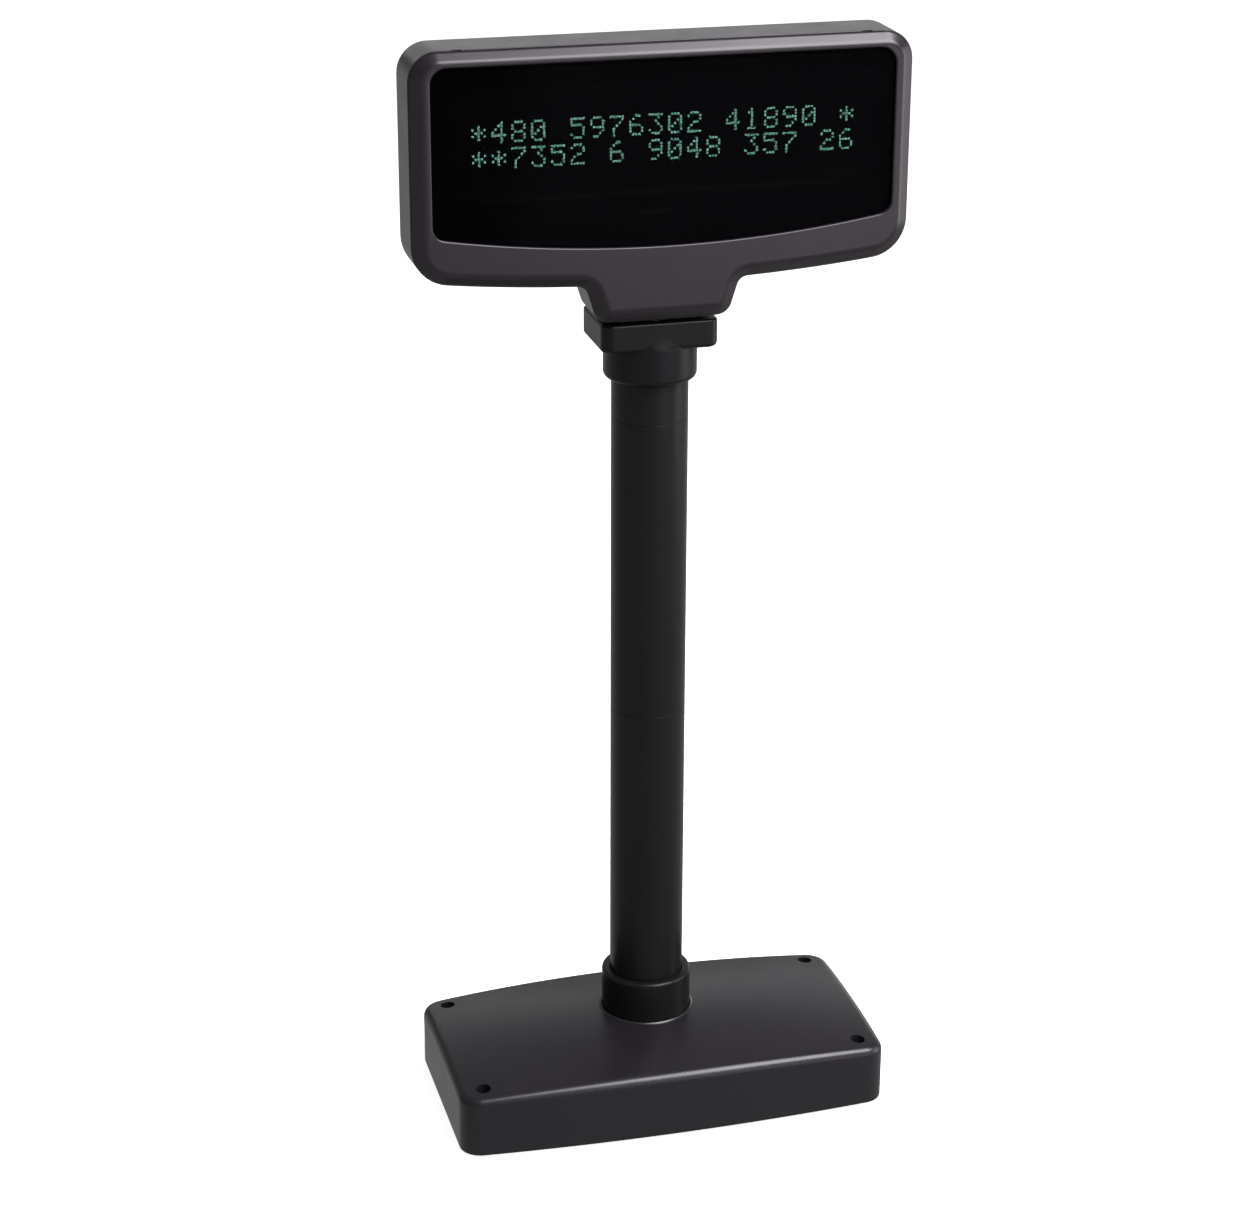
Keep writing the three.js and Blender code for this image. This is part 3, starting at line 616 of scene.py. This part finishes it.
def rubber(name, color):
    """Matt rubber with a coarse grain and dusty lighter patches."""
    material, tree, shader = new_material(name, color, 0.75, specular=0.3)
    add_bump(tree, shader, noise(tree, RUBBER_GRAIN_SCALE, 4.0), 0.3, RUBBER_GRAIN_HEIGHT)
    shade = remap(tree, noise(tree, RUBBER_SHADE_SCALE), 0.0, 1.0)
    light = [channel * 1.5 for channel in color]
    vary_color(tree, shade, color, light, shader.inputs["Base Color"])
    return material


def clear_sheet(name, color, specular, alpha, haze_scale, haze_detail, haze):
    """A polished see-through sheet whose gloss changes a little from place to place."""
    material, tree, shader = new_material(name, color, 0.05, specular=specular)
    shader.inputs["Alpha"].default_value = alpha
    cloud = noise(tree, haze_scale, haze_detail)
    tree.links.new(remap(tree, cloud, *haze), shader.inputs["Roughness"])
    material.surface_render_method = "BLENDED"
    return material


def filter_material():
    """The tinted filter: nearly black, and just clear enough for the lit dots to show."""
    return clear_sheet("filter", (0.001, 0.001, 0.0015), 0.012, 0.8, 25.0, 2.0, (0.04, 0.09))


def glass_material():
    return clear_sheet("glass", (0.4, 0.45, 0.44), 0.05, 0.12, 40.0, 3.0, (0.03, 0.08))


def phosphor_material():
    """Lit phosphor: green dots with a slight difference from one to the next."""
    material, tree, shader = new_material("phosphor", (0.02, 0.05, 0.04), 0.6, specular=0.1)
    shader.inputs["Emission Strength"].default_value = 15.0
    shade = remap(tree, noise(tree, DOT_SHADE_SCALE, 1.0), 0.0, 1.0)
    dim = (0.20, 0.56, 0.425)
    bright = (0.335, 0.79, 0.64)
    vary_color(tree, shade, dim, bright, shader.inputs["Emission Color"])
    return material


def head_plastic():
    """Black with a faint purple cast, in its body and in its gloss."""
    material = plastic("case", (0.013, 0.0098, 0.0135), 0.30, grain=0.08, specular=0.45)
    return tint_gloss(material, (1, 0.94, 1))


def base_plastic():
    """Black with less of the purple cast than the head."""
    material = plastic("base", (0.0125, 0.0108, 0.0135), 0.30, grain=0.08, specular=0.45)
    return tint_gloss(material, (0.99, 0.96, 1))


MATERIALS = {
    "case": head_plastic(),
    "base": base_plastic(),
    "swivel": plastic("swivel", (0.006, 0.005, 0.0065), 0.30, grain=0.04, specular=0.20),
    "tube": plastic("tube", (0.007, 0.0065, 0.0075), 0.30, grain=0.04, specular=0.22),
    "filter": filter_material(),
    "glass": glass_material(),
    "tube_back": plastic("tube_back", (0.002, 0.002, 0.002), 0.5, grain=0.02, specular=0.1),
    "phosphor": phosphor_material(),
    "board": plastic("board", (0.004, 0.014, 0.007), 0.4, grain=0.2),
    "chip": plastic("chip", (0.01, 0.01, 0.011), 0.5, grain=0.3),
    "connector": plastic("connector", (0.62, 0.58, 0.48), 0.45),
    "copper": metal("copper", (0.72, 0.38, 0.2), 0.35),
    "cord": rubber("cord", (0.012, 0.012, 0.012)),
    "rubber": rubber("rubber", (0.010, 0.010, 0.010)),
    "bracket": metal("bracket", (0.035, 0.034, 0.036), 0.45),
    "steel": metal("steel", (0.42, 0.42, 0.43), 0.35, 300.0, (1, 18, 1)),
    "screw": metal("screw", (0.10, 0.10, 0.105), 0.32),
}

# CAD nodes that don't look like the rest of their slot.
LOOKS = {"vfd_rear_glass": "tube_back", "tilt_bracket": "bracket"}


# ------------------------------------------------------------------ base

def crown_height(x, y):
    """Height of the base's top, crowned both ways and a little more in its middle."""
    across_x = 1 - (x / BASE_HALF[0]) ** 2
    across_y = 1 - (y / BASE_HALF[1]) ** 2
    front, side, middle = CROWN
    return BASE_EDGE + front * across_x + side * across_y + middle * across_x * across_y


def crown_rings(outline, radius, lowered, count):
    """Rings that run from an outline to a circle round the pole, all on the crown less lowered."""
    hole = []
    for x, y in outline:
        away = Vector((x - POLE_AXIS.x, y - POLE_AXIS.y)).normalized()
        hole.append((POLE_AXIS.x + away.x * radius, POLE_AXIS.y + away.y * radius))
    rings = []
    for share in spread(0.0, 1.0, count):
        ring = []
        for (x0, y0), (x1, y1) in zip(outline, hole):
            x = x0 + (x1 - x0) * share
            y = y0 + (y1 - y0) * share
            ring.append((x, y, crown_height(x, y) - lowered))
        rings.append(ring)
    return rings


def base_shell(bm):
    """The cover as one closed skin: sides, rounded edge, crown, lip round the pole, and underside."""
    outline = base_outline()
    rings = level_rings(outline, BASE_SIDE_PATH)
    for turn in spread(0.0, BASE_EDGE_TURN, BASE_EDGE_RINGS):
        depth = BASE_EDGE_RADIUS * (1 - cos(radians(turn)))
        sunk = BASE_EDGE_RADIUS * (1 - sin(radians(turn)))
        rings.append([(x, y, crown_height(x, y) - sunk) for x, y in rounded(inset(outline, depth))])
    crown_edge = rounded(inset(outline, BASE_EDGE_RADIUS + 0.3))
    rings += crown_rings(crown_edge, COLLAR_FOOT + LIP_REACH, 0.0, CROWN_RINGS)
    for out, raised in LIP_PATH:
        rings.append(crown_rings(rounded(outline), COLLAR_FOOT + out, -raised, 2)[-1])
    inner = rounded(inset(outline, BASE_WALL))
    rings += list(reversed(crown_rings(inner, COLLAR_FOOT + 1.0, BASE_WALL, UNDERSIDE_RINGS)))
    loops = add_loops(bm, rings)
    join_loops(bm, loops[-1], loops[0])


def outlet_wall():
    """Where the curved back wall stands at the cable outlet."""
    return BASE_HALF[1] - BASE_BULGE * (OUTLET[0] / BASE_HALF[0]) ** 2


def base_cover():
    """The shell with four screw pillars, their stepped holes, the cable outlet and the rear notch."""
    cover = draft("base_cover_fine", base_shell)
    pillars = []
    holes = []
    for side_x, side_y in CORNERS:
        x = side_x * COVER_SCREW[0]
        y = side_y * COVER_SCREW[1]
        top = crown_height(x, y)
        there = Matrix.Translation((x, y, 0))
        pillars.append(draft("pillar", rod, PILLAR_RADIUS, PILLAR_LOW, top - 1.0, matrix=there))
        holes.append(draft("bore", rod, SCREW_BORE, COVER_SCREW_SHELF, top + 1.0, matrix=there))
        holes.append(draft("shaft", rod, SHAFT_BORE, 0.0, COVER_SCREW_SHELF + 1.0, matrix=there))
    back = outlet_wall()
    outlet = (span(OUTLET[0], OUTLET_HALF[0]), (back - 10, back + 5), span(OUTLET[1], OUTLET_HALF[1]))
    holes.append(draft("outlet", block, *outlet))
    holes.append(draft("notch", block, *REAR_NOTCH))
    combine(cover, pillars, "UNION")
    combine(cover, holes, "DIFFERENCE")
    finish_piece(cover, "stand", MATERIALS["base"], ["base_cover"], CENTRE, weight=50)


def grommet_shape(bm):
    """A rubber liner with a rounded lip on the outside of the wall and a round hole."""
    back = outlet_wall()
    outline = rectangle(*span(OUTLET[0], GROMMET_HALF[0]), *span(OUTLET[1], GROMMET_HALF[1]), GROMMET_CORNER)
    outer = add_loops(bm, upright_rings(outline, shifted(GROMMET_PATH, back)))
    bore = []
    for radius, y in shifted(GROMMET_BORE, back):
        bore.append([(x, y, z) for x, z in circle(radius, OUTLET, SMALL_ROUND_STEPS)])
    inner = add_loops(bm, bore)
    fill_between(bm, outer[0], inner[0])
    fill_between(bm, outer[-1], inner[-1])


def cable_grommet():
    grommet = draft("cable_grommet_fine", grommet_shape)
    finish_piece(grommet, "stand", MATERIALS["rubber"], ["cable_grommet"], CENTRE)


def foot_shape(bm):
    lathe(bm, FOOT_PROFILE)


def rubber_feet():
    for i, (side_x, side_y) in enumerate(CORNERS):
        name = f"rubber_foot_{i + 1}"
        there = Matrix.Translation((side_x * FOOT_PLACE[0], side_y * FOOT_PLACE[1], 0))
        foot = draft(name + "_fine", foot_shape, matrix=there)
        finish_piece(foot, "stand", MATERIALS["rubber"], [name], CENTRE)


# ------------------------------------------------------------------ screws

def cross_screw(head_radius, head_height, shaft_radius, length):
    """A pan-head screw that points down from the underside of its head, with a cross recess on top."""
    def turned(bm):
        profile = rounded_path([
            (0, -length, 0),
            (shaft_radius * 0.4, -length, 0),
            (shaft_radius, -length + 1.5, 0),
            (shaft_radius, 0, 0),
            (head_radius, 0, 0),
            (head_radius, head_height * 0.45, 0),
            (head_radius * 0.78, head_height, head_height * 0.35),
            (0, head_height, 0),
        ], 6)
        lathe(bm, profile, SMALL_ROUND_STEPS)

    screw = draft("screw", turned)
    arm = span(0, head_radius * 0.62)
    width = span(0, head_radius * 0.13)
    deep = (head_height * 0.3, head_height + 1)
    recess = [draft("arm", block, arm, width, deep), draft("arm", block, width, arm, deep)]
    return combine(screw, recess, "DIFFERENCE")


def place_screws(prefix, template, body, places, upright=None, centre=POLE_AXIS):
    """Copies of a screw, each turned a little further than the last, as if driven by hand."""
    for i, place in enumerate(places):
        name = f"{prefix}_{i + 1}"
        screw = bpy.data.objects.new(name + "_fine", template.data.copy())
        bpy.context.scene.collection.objects.link(screw)
        spin = Matrix.Rotation(radians(23 + 37 * i), 4, "Z")
        screw.data.transform(Matrix.Translation(place) @ (upright or Matrix.Identity(4)) @ spin)
        finish_piece(screw, body, MATERIALS["screw"], [name], centre)
    bpy.data.objects.remove(template)


def all_screws():
    base_places = [(sx * COVER_SCREW[0], sy * COVER_SCREW[1], COVER_SCREW_SHELF + 0.3) for sx, sy in CORNERS]
    bracket_places = [(x, y, BRACKET_SCREW_Z) for x, y in BRACKET_SCREWS]
    case_places = [(x, HEAD_BACK - 1, z) for x, z in CASE_SCREWS]
    towards_back = Matrix.Rotation(-pi / 2, 4, "X")
    place_screws("base_screw", cross_screw(3.0, 2.6, 1.6, 8.2), "stand", base_places, centre=CENTRE)
    place_screws("bracket_screw", cross_screw(2.5, 0.6, 1.2, 7.5), "swivel", bracket_places)
    place_screws("case_screw", cross_screw(3.0, 0.8, 1.2, 14.0), "head", case_places, towards_back)


# ------------------------------------------------------------------ socket and pole

def socket_shape(bm):
    """A flanged cup that the pole stands in, with a smaller hole for the lead in its floor."""
    flange_top = SOCKET_LOW + FLANGE_THICK
    lathe(bm, rounded_path([
        (SOCKET_CABLE_BORE, SOCKET_LOW, 0),
        (SOCKET_FLANGE, SOCKET_LOW, 0),
        (SOCKET_FLANGE, flange_top, 0.6),
        (SOCKET_RADIUS, flange_top, 0),
        (SOCKET_RADIUS, SOCKET_TOP, 1.5),
        (SOCKET_BORE, SOCKET_TOP, 0.3),
        (SOCKET_BORE, SOCKET_SEAT, 0),
        (SOCKET_CABLE_BORE, SOCKET_SEAT, 0),
    ]))


def pole_shape(bm, low, high):
    """A length of tube with a spigot at its top that plugs into the next length."""
    lathe(bm, rounded_path([
        (POLE_BORE, low, 0),
        (POLE_RADIUS, low, SEAM_EDGE),
        (POLE_RADIUS, high, SEAM_EDGE),
        (SPIGOT_RADIUS, high, 0),
        (SPIGOT_RADIUS, high + SPIGOT_RISE, 0.5),
        (SPIGOT_BORE, high + SPIGOT_RISE, 0),
        (SPIGOT_BORE, high - SPIGOT_ROOT, 0),
        (POLE_BORE, high - SPIGOT_ROOT, 0),
    ]))


def pole_top_shape(bm, low):
    """The top length, whose narrower neck carries the swivel."""
    lathe(bm, rounded_path([
        (POLE_BORE, low, 0),
        (POLE_RADIUS, low, SEAM_EDGE),
        (POLE_RADIUS, SHOULDER, 0.5),
        (NECK_RADIUS, SHOULDER, 0),
        (NECK_RADIUS, NECK_TOP, 0.4),
        (NECK_BORE, NECK_TOP, 0),
        (NECK_BORE, low + NECK_ROOT, 0),
        (POLE_BORE, low + NECK_ROOT, 0),
    ]))


def socket_and_pole():
    for name, shape, ends in (
        ("pole_socket", socket_shape, ()),
        ("pole_lower", pole_shape, (POLE_LOW, SEAM_LOW - SEAM_GAP)),
        ("pole_middle", pole_shape, (SEAM_LOW + SEAM_GAP, SEAM_HIGH - SEAM_GAP)),
        ("pole_top", pole_top_shape, (SEAM_HIGH + SEAM_GAP,)),
    ):
        finish_piece(draft(name + "_fine", shape, *ends), "stand", MATERIALS["tube"], [name])


# ------------------------------------------------------------------ swivel

def swivel_body(bm):
    outline = rectangle(-BLOCK_HALF, BLOCK_HALF, BLOCK_FRONT, BLOCK_BACK, BLOCK_CORNER)
    path = rounded_path([
        (9.0, BLOCK_LOW, 0),
        (0.0, BLOCK_LOW, BLOCK_LOW_EDGE),
        (0.0, BLOCK_TOP, BLOCK_TOP_EDGE),
        (9.0, BLOCK_TOP, 0),
    ], 6)
    capped(bm, level_rings(outline, path[1:-1]))


def swivel_collar(bm):
    """The round collar below the block, whose top narrows into the block's front."""
    lathe(bm, rounded_path([
        (0, COLLAR_LOW, 0),
        (COLLAR, COLLAR_LOW, 3.0),
        (COLLAR, COLLAR_SHOULDER, 5.0),
        (COLLAR_TOP_RADIUS, COLLAR_TOP, 0),
        (0, COLLAR_TOP, 0),
    ], 8))


def swivel_block():
    block_piece = draft("swivel_block_fine", swivel_body)
    combine(block_piece, [draft("collar", swivel_collar)], "UNION")
    bores = [draft(name, rod, *sizes, ROUND_STEPS) for name, *sizes in SWIVEL_BORES]
    for x, y in BRACKET_SCREWS:
        bores.append(draft("hole", rod, *BRACKET_HOLE, matrix=Matrix.Translation((x, y, 0))))
    combine(block_piece, bores, "DIFFERENCE")
    finish_piece(block_piece, "swivel", MATERIALS["swivel"], ["swivel_block"])


# ------------------------------------------------------------------ head

def case_outside(bm):
    path = rounded_path([
        (CASE_FRONT_INSET, CASE_FRONT, 0),
        (0.0, CASE_FRONT, CASE_FRONT_EDGE),
        (0.0, HEAD_BACK, HEAD_BACK_EDGE),
        (9.0, HEAD_BACK, 0),
    ], 8)
    capped(bm, upright_rings(head_outline(), path[:-1]))


def case_inside(bm):
    path = [(HEAD_WALL, CASE_HOLLOW_FRONT), (HEAD_WALL, HEAD_BACK - HEAD_WALL)]
    capped(bm, upright_rings(head_outline(), path))


def hinge_housing(bm, shrink, half_width, edge):
    """The barrel round the tilt axle, with a slope that runs up into the back of the head."""
    radius = BARREL - shrink
    top = HOUSING_TOP - shrink
    outline = [(HOUSING_INNER_Y, TILT_Z - radius, 0)]
    for turn in spread(*BARREL_ARC):
        outline.append((radius * cos(radians(turn)), TILT_Z + radius * sin(radians(turn)), 0))
    outline += [(HEAD_BACK - shrink - HOUSING_LEAN, top, 0), (HOUSING_INNER_Y, top, 0)]
    path = [
        (-half_width, edge),
        (-half_width + edge * 0.3, edge * 0.3),
        (-half_width + edge, 0.0),
        (half_width - edge, 0.0),
        (half_width - edge * 0.3, edge * 0.3),
        (half_width, edge),
    ]
    capped(bm, [[(x, y, z) for y, z in rounded(inset(outline, depth))] for x, depth in path])


def rear_cover():
    """The rear casing, hollowed out, with the hinge housing, screw recesses and snap notches."""
    cover = draft("rear_cover_fine", case_outside)
    combine(cover, [draft("housing", hinge_housing, 0.0, HOUSING_HALF, HOUSING_EDGE)], "UNION")
    tools = [
        draft("inside", case_inside),
        draft("housing_inside", hinge_housing, HEAD_WALL, HOUSING_HALF - HEAD_WALL, HOUSING_INNER_EDGE),
        draft("lug_slot", block, *LUG_SLOT),
    ]
    towards_back = Matrix.Rotation(-pi / 2, 4, "X")
    for x, z in CASE_SCREWS:
        there = Matrix.Translation((x, 0, z)) @ towards_back
        tools.append(draft("screw_hole", rod, *CASE_SCREW_HOLE, matrix=there))
        tools.append(draft("screw_recess", rod, *CASE_SCREW_RECESS, matrix=there))
    for x in SNAP_NOTCH_X:
        tools.append(draft("snap_notch", block, span(x, SNAP_NOTCH_HALF), SNAP_NOTCH_Y, SNAP_NOTCH_Z))
    combine(cover, tools, "DIFFERENCE")
    finish_piece(cover, "head", MATERIALS["case"], ["rear_cover"])


def bevel_depth(share):
    """How far forward the bevel has come, from 0 at the rim to 1 on the face, with a soft ridge."""
    soft = 0.24
    edge = 0.09
    edge_depth = 0.16
    ridge = 0.84
    slope = (1 - edge_depth) / (ridge - edge)
    if share < ridge - soft:
        return edge_depth + (share - edge) * slope
    if share > ridge + soft:
        return 1.0
    return 1.0 - slope * (ridge + soft - share) ** 2 / (4 * soft)


def bevel_rings(outline):
    """Rings from the rim to the face, each a share of the way to a ridge that sits higher on top."""
    ridge = []
    for x, z, radius in inset(outline, RIDGE_INSET):
        ridge.append((x, z + RIDGE_TOP_RISE if z > HEAD_MIDDLE else z, radius))
    rim_points = rounded(inset(outline, RIM_INSET))
    ridge_points = rounded(ridge)
    rise = HEAD_EDGE - HEAD_FRONT
    steps = [(share, HEAD_EDGE - forward) for share, forward in RIM_ROUNDING]
    steps += [(share, HEAD_EDGE - bevel_depth(share) * rise) for share in spread(*BEVEL_SHARES)]
    rings = []
    for share, y in steps:
        rings.append([(x0 + (x1 - x0) * share, y, z0 + (z1 - z0) * share)
                      for (x0, z0), (x1, z1) in zip(rim_points, ridge_points)])
    return rings


def bezel_shape(bm):
    """The front frame: a skirt inside the casing, the rim, the bevel, the face and the window's lip."""
    outline = head_outline()
    skirt = [(SKIRT_INSIDE, SKIRT_BACK), (SKIRT_OUTSIDE, SKIRT_BACK), (SKIRT_OUTSIDE, SEAM_Y)]
    rings = upright_rings(outline, skirt)
    rings += upright_rings(outline, RIM_PATH)
    rings += bevel_rings(outline)
    loops = add_loops(bm, rings)
    lip_loops = add_loops(bm, upright_rings(window_outline(), shifted(WINDOW_LIP, HEAD_FRONT)))
    fill_between(bm, loops[-1], lip_loops[0])
    back = add_loops(bm, upright_rings(outline, [(SKIRT_INSIDE, HEAD_FRONT + BEZEL_THICK)]))[0]
    join_loops(bm, back, loops[0])
    fill_between(bm, back, lip_loops[-1])


def front_bezel():
    bezel = draft("front_bezel_fine", bezel_shape)
    finish_piece(bezel, "head", MATERIALS["case"], ["front_bezel"], sharp=40.0)


def panel_shape(bm):
    outline = inset(window_outline(), -PANEL_OVERLAP)
    capped(bm, upright_rings(outline, shifted(PANEL_PATH, HEAD_FRONT)))


def filter_window():
    panel = draft("filter_window_fine", panel_shape)
    finish_piece(panel, "head", MATERIALS["filter"], ["filter_window"])


# ------------------------------------------------------------------ display

def dot_places():
    """The middle of each lit dot. Two rows of twenty characters show numerals and stars only."""
    for row, top in ROWS:
        for place, character in enumerate(row):
            for line, dots in enumerate(GLYPHS.get(character, ())):
                for column, dot in enumerate(dots):
                    if dot == "1":
                        x = FIRST_CHARACTER + place * CHARACTER_PITCH + (column + 0.5) * DOT_PITCH[0]
                        yield x, top - (line + 0.5) * DOT_PITCH[1]


def lit_dots(bm):
    half_x, half_z = [pitch * DOT_FILL / 2 for pitch in DOT_PITCH]
    for x, z in dot_places():
        block(bm, span(x, half_x), DOT_LAYER, span(z, half_z))


def display_dots():
    finish_piece(draft("display_dots", lit_dots), "head", MATERIALS["phosphor"])


# ------------------------------------------------------------------ stage, light and camera

FLOOR_HALF = 9
FLOOR_GLOW = 0.86
FLOOR_COLOR = (0.86, 0.86, 0.86)

# Name, place, target, width, height and radiance.
SOFTBOXES = (
    ("overhead", (0.60, -0.66, 1.46), (0, 0, 0.4), 1.05, 0.95, 13.5),
    ("front_strip", (0.32, -1.25, 0.64), (0, 0, 0.4), 0.6, 0.14, 4.0),
    ("right", (1.15, -0.25, 0.36), (0, 0, 0.36), 0.6, 0.7, 3.0),
    ("behind", (0.55, 2.4, 0.98), (0, 0, 0.4), 2.6, 0.42, 1.0),
    ("behind_right", (1.3, 1.3, 0.2), (0, 0, 0.35), 1.1, 0.5, 1.2),
    ("low", (0.58, -1.0, 0.22), (0, 0, 0.45), 0.85, 0.3, 1.5),
)

HORIZON_BLUR = 0.08
LIGHT_BELOW = 0.42
LIGHT_ABOVE = 0.2

CAMERA_PLACE = (-0.3321, -1.1917, 0.7313)
CAMERA_YAW = 0.260
CAMERA_PITCH = radians(-21.632)
CAMERA_ROLL = 0.003
CAMERA_LENS = 86.17
CAMERA_SENSOR = 36


def stage_material():
    material, _, shader = new_material("stage", FLOOR_COLOR, 0.9, specular=0.0)
    shader.inputs["Emission Color"].default_value = (1, 1, 1, 1)
    shader.inputs["Emission Strength"].default_value = FLOOR_GLOW
    return material


def pale_floor():
    """A glowing floor that lights nothing, so that it stays plain and even behind the object."""
    mesh = bpy.data.meshes.new("floor")
    corners = [(side_x * FLOOR_HALF, side_y * FLOOR_HALF, 0) for side_x, side_y in CORNERS]
    mesh.from_pydata(corners, [], [(0, 1, 2, 3)])
    floor = bpy.data.objects.new("floor", mesh)
    floor.data.materials.append(stage_material())
    floor.visible_glossy = False
    floor.visible_diffuse = False
    bpy.context.scene.collection.objects.link(floor)


def softbox(name, place, target, width, height, radiance):
    """An area light of that radiance, in the units of the render."""
    light = bpy.data.lights.new(name, "AREA")
    light.shape = "RECTANGLE"
    light.size = width
    light.size_y = height
    light.energy = radiance * pi * width * height
    lamp = bpy.data.objects.new(name, light)
    lamp.location = place
    direction = Vector(target) - Vector(place)
    lamp.rotation_euler = direction.to_track_quat("-Z", "Y").to_euler()
    bpy.context.scene.collection.objects.link(lamp)


def studio_world():
    """Soft light from a pale floor below the horizon, and a dimmer room above it."""
    world = bpy.data.worlds.new("studio")
    world.use_nodes = True
    tree = world.node_tree
    place = tree.nodes.new("ShaderNodeTexCoord")
    split = tree.nodes.new("ShaderNodeSeparateXYZ")
    height = tree.nodes.new("ShaderNodeMapRange")
    height.inputs["From Min"].default_value = -HORIZON_BLUR
    height.inputs["From Max"].default_value = HORIZON_BLUR
    height.inputs["To Min"].default_value = LIGHT_BELOW
    height.inputs["To Max"].default_value = LIGHT_ABOVE
    tree.links.new(place.outputs["Generated"], split.inputs["Vector"])
    tree.links.new(split.outputs["Z"], height.inputs["Value"])
    tree.links.new(height.outputs["Result"], tree.nodes["Background"].inputs["Strength"])
    tree.nodes["Background"].inputs["Color"].default_value = (1, 1, 1, 1)
    return world


def main_camera():
    """The camera, from where it stands and how it is turned."""
    forward = cos(CAMERA_PITCH)
    ahead = Vector((sin(CAMERA_YAW) * forward, cos(CAMERA_YAW) * forward, sin(CAMERA_PITCH)))
    level = Vector((cos(CAMERA_YAW), -sin(CAMERA_YAW), 0))
    right_way = level * cos(CAMERA_ROLL) + level.cross(ahead) * sin(CAMERA_ROLL)
    up_way = right_way.cross(ahead)
    lens = bpy.data.cameras.new("camera")
    lens.sensor_fit = "HORIZONTAL"
    lens.sensor_width = CAMERA_SENSOR
    lens.lens = CAMERA_LENS
    camera = bpy.data.objects.new("camera", lens)
    turned = Matrix((right_way, up_way, -ahead)).transposed().to_4x4()
    camera.matrix_world = Matrix.Translation(CAMERA_PLACE) @ turned
    bpy.context.scene.collection.objects.link(camera)
    return camera


def give_looks():
    """Gives each CAD node the material of its own look, or else of its slot."""
    slots = {entry["node"]: entry["material_slot"] for entry in frame["record"]["subparts"]}
    for name, node in frame["nodes"].items():
        node.data.materials.clear()
        node.data.materials.append(MATERIALS[LOOKS.get(name, slots[name])])


# ------------------------------------------------------------------ make everything

base_cover()
cable_grommet()
rubber_feet()
all_screws()
socket_and_pole()
swivel_block()
rear_cover()
front_bezel()
filter_window()
display_dots()
give_looks()

pale_floor()
for box in SOFTBOXES:
    softbox(*box)
bpy.context.scene.world = studio_world()
bpy.context.scene.view_settings.view_transform = "Standard"
bpy.context.scene.camera = main_camera()
